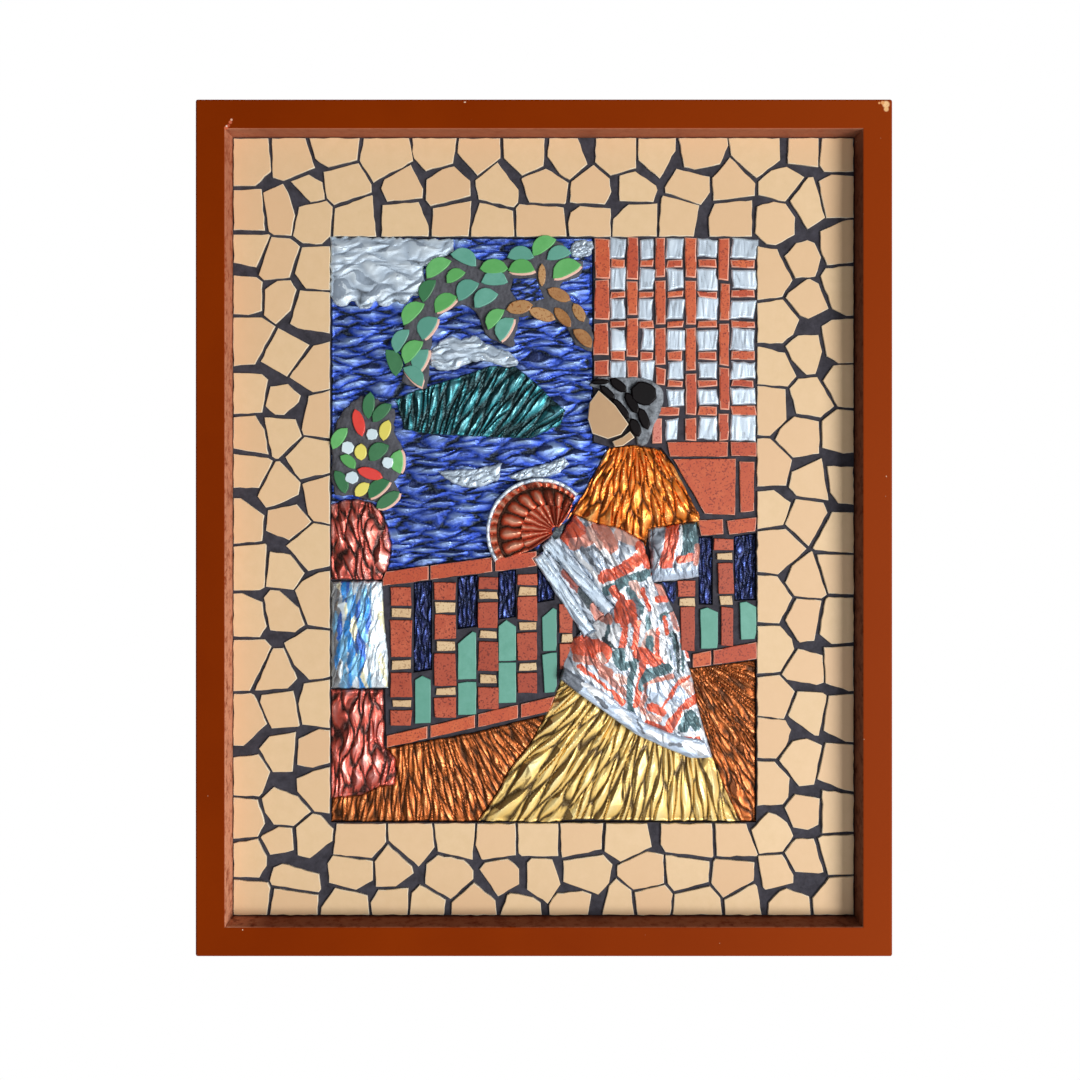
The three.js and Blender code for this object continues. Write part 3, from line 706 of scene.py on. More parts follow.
class Bench:
    """Modelling operations on the piece in work, which is the active object."""

    round_angle = math.radians(40)
    broad_face = 8 * MM * MM

    @staticmethod
    def clear() -> None:
        """Leave nothing selected and no piece in edit mode."""
        if bpy.context.object and bpy.context.object.mode != "OBJECT":
            bpy.ops.object.mode_set(mode="OBJECT")
        bpy.ops.object.select_all(action="DESELECT")

    @staticmethod
    def place_primitive(name: str) -> Piece:
        """Name the primitive just added and carry its place into its mesh.

        Args:
            name: The piece's name.

        Returns:
            The piece.
        """
        piece = bpy.context.object
        piece.name = name
        piece.data.name = name
        bpy.ops.object.transform_apply(location=True, rotation=True, scale=True)
        return piece

    @staticmethod
    def choose(test: Callable[[bmesh.types.BMEdge], bool]) -> None:
        """Select the edges that pass a test, in edit mode.

        Args:
            test: Takes an edge and says whether it is wanted.
        """
        bpy.ops.mesh.select_mode(type="EDGE")
        bpy.ops.mesh.select_all(action="DESELECT")
        mesh = bmesh.from_edit_mesh(bpy.context.object.data)
        for edge in mesh.edges:
            edge.select_set(bool(test(edge)))
        mesh.select_flush_mode()
        bmesh.update_edit_mesh(bpy.context.object.data)

    @staticmethod
    def draw_back(back: float) -> None:
        """Extrude what is selected as far back as a depth, in edit mode.

        Args:
            back: The depth, in millimetres forward of the wall.
        """
        bpy.ops.mesh.extrude_region_move()
        mesh = bmesh.from_edit_mesh(bpy.context.object.data)
        for vertex in mesh.verts:
            if vertex.select:
                vertex.co.y = -back * MM
        bmesh.update_edit_mesh(bpy.context.object.data)
        bpy.ops.mesh.select_all(action="SELECT")

    @staticmethod
    def bevel(width: float, segments: int) -> None:
        """Round the selected edges; the width is in millimetres."""
        bpy.ops.mesh.bevel(offset=width * MM, segments=segments, affect="EDGES", clamp_overlap=True)

    @staticmethod
    def smooth() -> None:
        """Shade rounded edges smoothly and leave broad faces flat."""
        bpy.ops.object.shade_smooth_by_angle(angle=Bench.round_angle)
        for face in bpy.context.object.data.polygons:
            if face.area > Bench.broad_face:
                face.use_smooth = False

    @staticmethod
    def dress(piece: Piece, *finishes: Finish) -> None:
        """Give a piece its materials.

        Args:
            piece: The piece.
            *finishes: Its finishes.
        """
        piece.data.materials.clear()
        for finish in finishes:
            piece.data.materials.append(finish.material())

    @staticmethod
    def hand_over(piece: Piece, *nodes: str) -> None:
        """Fix a finished piece to the panel and hide the CAD nodes that it stands for.

        Args:
            piece: The piece.
            *nodes: The CAD nodes.
        """
        Bench.clear()
        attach(piece, BODY)
        if nodes:
            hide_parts(*nodes)
        log.info("%s: %d faces", piece.name, len(piece.data.polygons))


# ---- Outlines of CAD nodes ----


def node_outline(name: str) -> tuple[Outline, float, float]:
    """Read the outline of a CAD node's flat back.

    Args:
        name: The node.

    Returns:
        Its corners in millimetres, anticlockwise, and the depths of its back and its front.
    """
    mesh = bmesh.new()
    mesh.from_mesh(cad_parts[name].data)
    bmesh.ops.remove_doubles(mesh, verts=mesh.verts, dist=2e-6)
    depths = [-vertex.co.y / MM for vertex in mesh.verts]
    back, front = min(depths), max(depths)
    flat = {face for face in mesh.faces if all(-v.co.y / MM < back + 0.01 for v in face.verts)}
    rim = [edge for edge in mesh.edges if sum(face in flat for face in edge.link_faces) == 1]
    neighbours: dict[int, list[bmesh.types.BMVert]] = {}
    for edge in rim:
        for vertex in edge.verts:
            neighbours.setdefault(vertex.index, []).append(edge.other_vert(vertex))
    loops: list[Outline] = []
    seen: set[int] = set()
    for edge in rim:
        start = edge.verts[0]
        if start.index in seen:
            continue
        loop, vertex = [], start
        while vertex is not None:
            seen.add(vertex.index)
            loop.append((vertex.co.x / MM, vertex.co.z / MM))
            onward = [other for other in neighbours[vertex.index] if other.index not in seen]
            vertex = onward[0] if onward else None
        loops.append(loop)
    mesh.free()
    outline = max(loops, key=lambda loop: abs(area_of(loop)) if len(loop) > 2 else 0)
    return (outline if area_of(outline) > 0 else outline[::-1]), back, front


# ---- Crumpled sheets ----


@dataclass(frozen=True)
class Flow:
    """Which way the folds of a sheet run: fanned out from a centre, or straight and leaning."""

    centre: Point | None = None
    reach: float = 120.0
    lean: float = 0.0
    upward: bool = False

    def coordinates(self, x: np.ndarray, z: np.ndarray) -> tuple[np.ndarray, np.ndarray]:
        """Measure points across and along the folds.

        Args:
            x: Each point's x.
            z: Each point's z.

        Returns:
            The distances across and along the folds.
        """
        if self.centre is not None:
            dx, dz = x - self.centre[0], z - self.centre[1]
            return np.arctan2(dx, dz if self.upward else -dz) * self.reach, np.hypot(dx, dz)
        angle = math.radians(self.lean)
        c, s = math.cos(angle), math.sin(angle)
        return x * c - z * s, x * s + z * c


def hashed(cells: np.ndarray, salt: int) -> np.ndarray:
    """Give each whole-numbered cell a fixed random number.

    Args:
        cells: The cells.
        salt: Sets the random layout.

    Returns:
        Numbers from 0 to 1.
    """
    mixed = (cells.astype(np.int64) * 374761393 + salt * 1274126177) & 0xFFFFFFFF
    mixed = ((mixed ^ (mixed >> 13)) * 1103515245) & 0xFFFFFFFF
    mixed = ((mixed ^ (mixed >> 15)) * 69069 + 12345) & 0xFFFFFFFF
    return ((mixed >> 8) & 0xFFFF) / 65535.0


def drift(u: np.ndarray, v: np.ndarray, salt: int) -> np.ndarray:
    """Work out smooth noise with a wavelength of about one.

    Args:
        u: Where the points are, across.
        v: Where they are, along.
        salt: Sets the noise.

    Returns:
        Numbers from about -1 to 1.
    """
    waves = [(1.0, 0.3, 1.7), (0.6, 1.3, 4.1), (1.9, -0.8, 2.9), (2.7, 2.1, 0.4)]
    total = sum(
        np.sin(u * a * 6.1 + salt * 1.31 * c) * np.cos(v * b * 6.1 + salt * 0.73 + c) / (1 + k)
        for k, (a, b, c) in enumerate(waves)
    )
    return total / 1.6


@dataclass(frozen=True)
class Facets:
    """Low pyramids with flat faces, packed side by side as pointed lozenges in staggered columns."""

    salt: int
    jitter: float = 0.36
    skew: float = -0.14

    def heights(self, u: np.ndarray, v: np.ndarray) -> tuple[np.ndarray, np.ndarray, np.ndarray]:
        """Find the face that each point lies on.

        Args:
            u: Each point's place across the lozenges, in their widths.
            v: Its place along them, in their lengths.

        Returns:
            The height there, a number for the face, which is higher the more it is turned to the right,
            towards the light, so that the foil's finish paints it lighter and the faces turned away in
            painted shade, and a number for the whole lozenge.
        """
        low_i, low_j = int(np.floor(2 * u.min())) - 6, int(np.floor(v.min())) - 4
        count = (int(np.floor(2 * u.max())) - low_i + 7, int(np.floor(v.max())) - low_j + 5)
        source = chance("facets", self.salt)
        column, row = np.meshgrid(np.arange(count[0]) + low_i, np.arange(count[1]) + low_j, indexing="ij")
        site_u = 0.5 * column + 0.25 + self.jitter * (source.random(count) - 0.5)
        site_v = row + 0.25 + 0.5 * (column % 2) + 1.6 * self.jitter * (source.random(count) - 0.5)
        top_u = site_u + self.skew * source.uniform(0.2, 1.3, count)
        top_v = site_v + 0.3 * (source.random(count) - 0.5)
        peak = source.uniform(0.6, 1.0, count)
        marks = source.random(count)
        home_i, home_j = np.floor(2 * u).astype(int) - low_i, np.floor(v).astype(int) - low_j
        best = np.full(u.shape, np.inf)
        own_i, own_j = home_i.copy(), home_j.copy()
        for di in (-2, -1, 0, 1, 2):
            for dj in (-1, 0, 1):
                at = (home_i + di, home_j + dj)
                gap = (u - site_u[at]) ** 2 + (v - site_v[at]) ** 2
                closer = gap < best
                best = np.where(closer, gap, best)
                own_i, own_j = np.where(closer, at[0], own_i), np.where(closer, at[1], own_j)
        own = (own_i, own_j)
        height, mark = np.full(u.shape, np.inf), np.zeros(u.shape)
        for di in (-3, -2, -1, 0, 1, 2, 3):
            for dj in (-1, 0, 1):
                if di == dj == 0:
                    continue
                at = (own_i + di, own_j + dj)
                run_u, run_v = site_u[at] - site_u[own], site_v[at] - site_v[own]
                edge_u, edge_v = site_u[own] + run_u / 2, site_v[own] + run_v / 2
                whole = run_u * (edge_u - top_u[own]) + run_v * (edge_v - top_v[own])
                part = (run_u * (edge_u - u) + run_v * (edge_v - v)) / np.maximum(whole, 0.004)
                # Faces turned to the right, towards the light, get a higher number and so are painted
                # lighter; the rest take painted shade.
                turned_right = 0.5 + 0.5 * run_u / np.hypot(run_u, run_v)
                lower = part < height
                height = np.where(lower, part, height)
                mark = np.where(lower, 0.5 * turned_right + 0.5 * (marks[own] + marks[at]) % 0.5, mark)
        return np.clip(height, 0, 1) * peak[own], np.clip(mark, 0, 1), marks[own]


@dataclass(frozen=True)
class Crumple:
    """A crumpled surface: long flat facets between sharp creases, with smaller ones on them."""

    flow: Flow = Flow()
    width: float = 5.0
    length: float = 22.0
    height: float = 2.2
    wave: float = 0.35
    fine: float = 0.25
    salt: int = 1
    calm: float = 0.0
    finer: Point = (2.3, 1.9)
    calm_patch: float = 26.0
    calm_level: float = 0.8

    def surface(self, x: np.ndarray, z: np.ndarray) -> tuple[np.ndarray, np.ndarray]:
        """Work out the surface over some points.

        Args:
            x: Each point's x.
            z: Each point's z.

        Returns:
            How far up its fold each point is, and a number for its facet, both from 0 to 1.
        """
        across, along = self.flow.coordinates(x, z)
        u, v = across / self.width, along / self.length
        u = u + self.wave * drift(u * 0.3, v * 0.7, self.salt)
        broad, tint, _ = Facets(self.salt).heights(u, v)
        small, mark, _ = Facets(self.salt + 50).heights(u * self.finer[0] + 0.1 * v, v * self.finer[1])
        fold = (1 - self.fine) * broad + self.fine * small
        patches = drift(x / self.calm_patch, z / self.calm_patch, self.salt + 7)
        calm = np.clip(0.5 + 0.9 * patches, 0, 1) * self.calm
        return fold + (self.calm_level - fold) * calm * 0.6, 0.75 * tint + 0.25 * mark


@dataclass(frozen=True)
class Lumps:
    """A trowelled surface of low soft lumps."""

    size: float = 9.0
    height: float = 0.8
    salt: int = 1

    def surface(self, x: np.ndarray, z: np.ndarray) -> tuple[np.ndarray, np.ndarray]:
        """Work out the surface over some points.

        Args:
            x: Each point's x.
            z: Each point's z.

        Returns:
            How far up its lump each point is, and the same without its smallest lumps.
        """
        u, v = x / self.size, z / self.size
        soft = 0.45 + 0.25 * drift(u, v, self.salt) + 0.2 * drift(u * 2.7, v * 2.3, self.salt + 3)
        return np.clip(soft + 0.12 * drift(u * 6.1, v * 5.3, self.salt + 5), 0, 1), soft


@dataclass(frozen=True)
class FanPleats:
    """Foil pleated twice: fine pleats from the pivot, then a ring of puffs and a scalloped edge."""

    pivot: Point = (9.0, -3.0)
    centre: Point = (-2.6, -3.9)
    radius: float = 36.6
    inner_pleats: float = 12.0
    puffs: float = 11.0
    scallops: float = 21.0
    step: float = 0.53
    rim: float = 0.9
    height: float = 3.4

    def surface(self, x: np.ndarray, z: np.ndarray) -> tuple[np.ndarray, np.ndarray]:
        """Work out the surface over some points.

        Args:
            x: Each point's x.
            z: Each point's z.

        Returns:
            How far up its pleat each point is, and a number for its pleat, both from 0 to 1.
        """
        dx, dz = x - self.pivot[0], z - self.pivot[1]
        distance = np.maximum(np.hypot(dx, dz), 1e-6)
        ux, uz = dx / distance, dz / distance
        px, pz = self.pivot[0] - self.centre[0], self.pivot[1] - self.centre[1]
        b = ux * px + uz * pz
        reach = -b + np.sqrt(np.maximum(b * b - (px * px + pz * pz - self.radius ** 2), 1.0))
        share = distance / reach
        turn = np.arctan2(dz, dx) % (2 * math.pi) / math.pi
        turn = turn + 0.006 * drift(x / 9, z / 9, 6)
        fine, fine_tint = self._ridged(turn * self.inner_pleats)
        puff, puff_tint = self._ridged(turn * self.puffs + 0.3)
        edge, edge_tint = self._ridged(turn * self.scallops + 0.6)
        inner = 0.25 + 0.75 * fine ** 1.1 * np.clip(share / 0.12, 0.3, 1)
        swell = np.sin(np.clip((share - self.step + 0.04) / (self.rim - self.step), 0, 1) * math.pi)
        outer = 0.12 + 0.88 * puff ** 0.85 * swell ** 0.6
        lip = 0.3 + 0.6 * edge
        fold = np.where(share < self.step, inner, np.where(share < self.rim, outer, lip))
        tint = np.where(share < self.step, fine_tint, np.where(share < self.rim, puff_tint, edge_tint))
        return np.clip(fold, 0, 1), tint

    @staticmethod
    def _ridged(phase: np.ndarray) -> tuple[np.ndarray, np.ndarray]:
        """Return how far up its pleat each place is, and a number for its pleat."""
        return 1 - np.abs((phase % 1) - 0.5) * 2, hashed(np.floor(phase), 5)


@dataclass(frozen=True)
class Crimps:
    """A narrow strip of foil crimped across its length, round a centre."""

    centre: Point = (-2.6, -3.9)
    reach: float = 38.0
    pitch: float = 5.2
    height: float = 1.0

    def surface(self, x: np.ndarray, z: np.ndarray) -> tuple[np.ndarray, np.ndarray]:
        """Work out the surface over some points.

        Args:
            x: Each point's x.
            z: Each point's z.

        Returns:
            How far up its crimp each point is, and a number for its crimp, both from 0 to 1.
        """
        along = np.arctan2(z - self.centre[1], x - self.centre[0]) % (2 * math.pi) * self.reach / self.pitch
        along = along + 0.35 * drift(along * 0.21, along * 0.1, 8)
        crimp = np.abs(np.sin(along * math.pi))
        return 0.25 + 0.75 * crimp ** 0.6, hashed(np.floor(along), 9)


Pattern = Crumple | Lumps | FanPleats | Crimps


@dataclass(frozen=True)
class Profile:
    """How a relief stands up from its edge: depths forward of the wall, and the rounding's width."""

    edge: float
    peak: float
    shoulder: float


def off_line(x: np.ndarray, z: np.ndarray, points: tuple[Point, ...] | np.ndarray) -> np.ndarray:
    """Measure how far places are from a line through some points.

    Args:
        x: Each place's x.
        z: Each place's z.
        points: The line's points.

    Returns:
        The distances.
    """
    nearest = np.full(x.shape, np.inf)
    for (ax, az), (bx, bz) in zip(points, points[1:]):
        ux, uz = bx - ax, bz - az
        square = ux * ux + uz * uz
        if square > 1e-12:
            share = np.clip(((x - ax) * ux + (z - az) * uz) / square, 0, 1)
            nearest = np.minimum(nearest, np.hypot(x - ax - share * ux, z - az - share * uz))
    return nearest


def inset_of(outline: np.ndarray, points: np.ndarray) -> np.ndarray:
    """Measure how far points are inside an outline, and less than nothing outside it.

    Args:
        outline: The outline's corners.
        points: The points.

    Returns:
        The distances.
    """
    x, z = points.T
    closed = np.vstack([outline, outline[:1]])
    inside = np.zeros(len(points), bool)
    for (ax, az), (bx, bz) in zip(closed, closed[1:]):
        if az != bz:
            inside ^= ((az > z) != (bz > z)) & (x < ax + (bx - ax) * (z - az) / (bz - az))
    nearest = off_line(x, z, closed)
    return np.where(inside, nearest, -nearest)


SHORTEST_SIDE = 0.05
CROWDED = 0.3


def stepped(outline: Outline, pitch: float) -> np.ndarray:
    """Put points along an outline, evenly spaced.

    Args:
        outline: The outline.
        pitch: How far apart they may be.

    Returns:
        The points.
    """
    made: list[np.ndarray] = []
    for start, _, run, length in sides(outline):
        if length < SHORTEST_SIDE:
            continue
        count = max(1, math.ceil(length / pitch))
        made.extend(np.add(start, run * i / count) for i in range(count))
    kept = [made[0]]
    for point in made[1:]:
        if np.hypot(*(point - kept[-1])) > CROWDED * pitch:
            kept.append(point)
    if np.hypot(*(kept[-1] - kept[0])) < CROWDED * pitch:
        kept.pop()
    return np.array(kept)


@dataclass
class Relief:
    """A sheet over one or more outlines, shaped into relief and closed behind."""

    name: str
    outlines: list[Outline]
    back: float
    pitch: float = 0.9
    clearance: float = 0.55
    settle: float = 2.2
    thinnest: float = 0.4
    paint: dict[str, np.ndarray] = field(default_factory=dict)

    def __post_init__(self) -> None:
        """Cover each outline with an even net of triangles."""
        nets, insets, faces, owners = [], [], [], []
        row = self.pitch * math.sqrt(3) / 2
        for outline in self.outlines:
            border = np.array(outline)
            rim = stepped(outline, self.pitch)
            low, high = rim.min(0), rim.max(0)
            rows = np.arange(low[1], high[1], row)
            columns = np.arange(low[0], high[0] + self.pitch, self.pitch)
            grid = np.array([
                (x + (k % 2) * self.pitch / 2, z) for k, z in enumerate(rows) for x in columns
            ])
            inner = grid[inset_of(border, grid) > self.clearance * self.pitch]
            count = len(rim)
            corners = [Vector(point) for point in np.vstack([rim, inner])]
            edges = [(i, (i + 1) % count) for i in range(count)]
            found, _, triangles = geometry.delaunay_2d_cdt(corners, edges, [], 1, 1e-7, False)[:3]
            points = np.array([tuple(point) for point in found])
            middles = points[np.array(triangles)].mean(axis=1)
            kept = [face for face, is_inside in zip(triangles, inset_of(rim, middles) > 0) if is_inside]
            nets.append(points)
            insets.append(np.maximum(inset_of(border, points), 0))
            owners.append(np.full(len(points), len(owners)))
            offset = sum(len(net) for net in nets[:-1])
            faces.extend([[offset + i for i in face] for face in kept])
        self.points = np.vstack(nets)
        self.inset = np.concatenate(insets)
        self.owner = np.concatenate(owners)
        self.faces = faces

    def shape(self, pattern: Pattern, profile: Profile) -> "Relief":
        """Raise the sheet.

        Args:
            pattern: Its crumples or lumps.
            profile: How it stands up from its edge.

        Returns:
            This sheet.
        """
        x, z = self.points.T
        self.fold, self.tint = pattern.surface(x, z)
        share = np.clip(self.inset / profile.shoulder, 0, 1)
        rise = np.sqrt(1 - (1 - share) ** 2)
        settled = np.clip(self.inset / self.settle, 0, 1)
        crest = profile.edge + (profile.peak - profile.edge) * rise
        self.depth = crest - pattern.height * (1 - self.fold) * (0.35 + 0.65 * settled)
        self.depth = np.maximum(self.depth, self.back + self.thinnest)
        self.fold = np.clip(self.fold, 0, 1)
        return self

    def build(self, smooth_degrees: float = 8.0) -> Piece:
        """Make the mesh, turn its edge back and close it behind.

        Args:
            smooth_degrees: Creases sharper than this stay hard.

        Returns:
            The piece.
        """
        x, z = self.points.T
        places = np.column_stack([x, -self.depth, z]) * MM
        mesh = bpy.data.meshes.new(self.name)
        mesh.from_pydata(places.tolist(), [], self.faces)
        for name, values in {"fold": self.fold, "tint": self.tint, **self.paint}.items():
            plain = values.ndim == 1
            layer = mesh.attributes.new(name, "FLOAT" if plain else "FLOAT_COLOR", "POINT")
            layer.data.foreach_set("value" if plain else "color", values.astype(np.float32).ravel())
        piece = bpy.data.objects.new(self.name, mesh)
        bpy.context.scene.collection.objects.link(piece)
        Bench.clear()
        piece.select_set(True)
        bpy.context.view_layer.objects.active = piece
        bpy.ops.object.mode_set(mode="EDIT")
        bpy.ops.mesh.select_mode(type="EDGE")
        bpy.ops.mesh.select_all(action="DESELECT")
        bpy.ops.mesh.select_non_manifold(extend=False)
        Bench.draw_back(self.back)
        bpy.ops.mesh.fill_holes(sides=0)
        bpy.ops.mesh.normals_make_consistent(inside=False)
        bpy.ops.object.mode_set(mode="OBJECT")
        bpy.ops.object.shade_smooth_by_angle(angle=math.radians(smooth_degrees))
        return piece


# ---- Snapped tile ----


@dataclass(frozen=True)
class Chip:
    """One piece of tile: its outline, the depth of its face, its tilt, its shade and its finish's place."""

    outline: Outline
    top: float
    tint: float = 0.5
    tilt: Point = (0.0, 0.0)
    finish: int = 0


@dataclass
class TileTray:
    """Pieces of tile that are set together and make one piece of the model."""

    name: str
    finishes: tuple[Finish, ...]
    back: float
    edge: Finish | None = None
    round_over: float = 0.4
    segments: int = 2
    nodes: tuple[str, ...] = ()
    shallowest: float = 0.3
    facing: float = 0.92
    chips: list[Chip] = field(default_factory=list)

    def set_by_hand(self, corners: Outline, source: Chance, step: float, waver: float,
                    finish: int = 0, askew: Point = (0.15, 0.01)) -> None:
        """Add a snapped piece that sits a little high or low and a little askew.

        Args:
            corners: Its corners.
            source: The random source.
            step: Length of one straight stretch.
            waver: How far its sides waver.
            finish: Its finish's place.
            askew: How far its height and its tilt stray.
        """
        self.chips.append(Chip(
            snapped(corners, source, step, waver), PANEL.tile_top + source.normal(0, askew[0]),
            source.uniform(0, 1), tuple(source.normal(0, askew[1], 2)), finish,
        ))

    @staticmethod
    def _cut(chip: Chip) -> None:
        """Cut one piece of tile as a flat face, in edit mode.

        Args:
            chip: The piece of tile.
        """
        bpy.ops.mesh.primitive_circle_add(vertices=len(chip.outline), radius=0.01, fill_type="NGON")
        mesh = bmesh.from_edit_mesh(bpy.context.object.data)
        shade = mesh.verts.layers.float["tint"]
        middle = np.mean(chip.outline, axis=0)
        face = next(face for face in mesh.faces if face.select)
        face.material_index = chip.finish
        for vertex, (x, z) in zip(face.verts, chip.outline):
            lean = (x - middle[0]) * chip.tilt[0] + (z - middle[1]) * chip.tilt[1]
            vertex.co = Vector((x, -chip.top - lean, z)) * MM
            vertex[shade] = chip.tint
        bmesh.update_edit_mesh(bpy.context.object.data)

    def _thicken(self) -> None:
        """Give the flat faces their thickness and round their front edges, in edit mode."""
        bpy.ops.mesh.select_all(action="SELECT")
        Bench.draw_back(self.back)
        bpy.ops.mesh.normals_make_consistent(inside=False)
        front = -(self.back + self.shallowest) * MM
        Bench.choose(lambda edge: all(v.co.y < front for v in edge.verts))
        Bench.bevel(self.round_over, self.segments)

    def build(self) -> None:
        """Cut every piece of tile, all in one mesh."""
        Bench.clear()
        bpy.ops.mesh.primitive_plane_add(size=0.01)
        piece = bpy.context.object
        piece.name = self.name
        Bench.dress(piece, *self.finishes, *([self.edge] if self.edge else []))
        bpy.ops.object.mode_set(mode="EDIT")
        bpy.ops.mesh.delete(type="VERT")
        mesh = bmesh.from_edit_mesh(piece.data)
        mesh.verts.layers.float.new("tint")
        bmesh.update_edit_mesh(piece.data)
        for chip in self.chips:
            self._cut(chip)
        self._thicken()
        bpy.ops.object.mode_set(mode="OBJECT")
        Bench.smooth()
        if self.edge:
            for face in piece.data.polygons:
                if -face.normal.y < self.facing:
                    face.material_index = len(self.finishes)
        Bench.hand_over(piece, *self.nodes)


# ---- The frame, board and grout ----


@dataclass(frozen=True)
class BoxFrame:
    """The deep lacquered moulding, rabbeted behind for the board."""

    name: str = "box_frame"
    outer_round: float = 1.6
    inner_round: float = 1.1
    rabbet_depth: float = 9.3
    slack: float = 0.01

    def build(self) -> None:
        """Model the moulding from one flat face."""
        Bench.clear()
        bpy.ops.mesh.primitive_plane_add(
            size=2 * MM, location=(0, -PANEL.rail_depth * MM, 0), rotation=(math.radians(90), 0, 0)
        )
        piece = Bench.place_primitive(self.name)
        piece.scale = (
            PANEL.opening_half_width + PANEL.rail_face, 1, PANEL.opening_half_height + PANEL.rail_face
        )
        bpy.ops.object.transform_apply(scale=True)
        bpy.ops.object.mode_set(mode="EDIT")
        self._hollow()
        self._close_back()
        self._round()
        bpy.ops.object.mode_set(mode="OBJECT")
        Bench.smooth()
        Bench.dress(piece, Finish.LACQUER)
        Bench.hand_over(piece, *(f"frame_rail_{side}" for side in ("top", "right", "bottom", "left")))

    def _hollow(self) -> None:
        """Sink the opening and its rabbet."""
        bpy.ops.mesh.select_all(action="SELECT")
        bpy.ops.mesh.inset(thickness=PANEL.rail_face * MM, use_even_offset=True)
        self._sink(PANEL.rail_depth - self.rabbet_depth)
        wider = (PANEL.opening_half_width + PANEL.rabbet_width) / PANEL.opening_half_width
        taller = (PANEL.opening_half_height + PANEL.rabbet_width) / PANEL.opening_half_height
        self._sink(0)
        bpy.ops.transform.resize(value=(wider, 1, taller))
        self._sink(self.rabbet_depth)
        bpy.ops.mesh.delete(type="FACE")

    @staticmethod
    def _sink(distance: float) -> None:
        """Extrude what is selected towards the wall."""
        bpy.ops.mesh.extrude_region_move(TRANSFORM_OT_translate={"value": (0, distance * MM, 0)})

    def _close_back(self) -> None:
        """Draw the outer edge back to the wall and close the back of the moulding."""
        front = -(PANEL.rail_depth - self.slack) * MM
        Bench.choose(lambda edge: edge.is_boundary and all(v.co.y < front for v in edge.verts))
        self._sink(PANEL.rail_depth)
        Bench.choose(lambda edge: edge.is_boundary)
        bpy.ops.mesh.bridge_edge_loops()
        bpy.ops.mesh.select_all(action="SELECT")
        bpy.ops.mesh.normals_make_consistent(inside=False)

    def _round(self) -> None:
        """Round the outer edges and the lip of the opening."""
        outer_x = (PANEL.opening_half_width + PANEL.rail_face - self.slack) * MM
        outer_z = (PANEL.opening_half_height + PANEL.rail_face - self.slack) * MM
        front = -(PANEL.rail_depth - self.slack) * MM
        Bench.choose(lambda edge: any(v.co.y < front for v in edge.verts) and all(
            abs(v.co.x) > outer_x or abs(v.co.z) > outer_z for v in edge.verts))
        Bench.bevel(self.outer_round, 4)
        lip_x = (PANEL.opening_half_width + self.slack) * MM
        lip_z = (PANEL.opening_half_height + self.slack) * MM
        Bench.choose(lambda edge: all(
            abs(v.co.x) < lip_x and abs(v.co.z) < lip_z and v.co.y < front for v in edge.verts))
        Bench.bevel(self.inner_round, 3)


def dress_cad_nodes() -> None:
    """Give the board and the grout bed, which keep their CAD shapes, their finishes."""
    for name, finish in (("backing_board", Finish.BOARD), ("grout_bed", Finish.GROUT)):
        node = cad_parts[name]
        node.data.materials.clear()
        node.data.materials.append(finish.material())
        log.info("%s: CAD shape", name)


# ---- The border of snapped tile ----


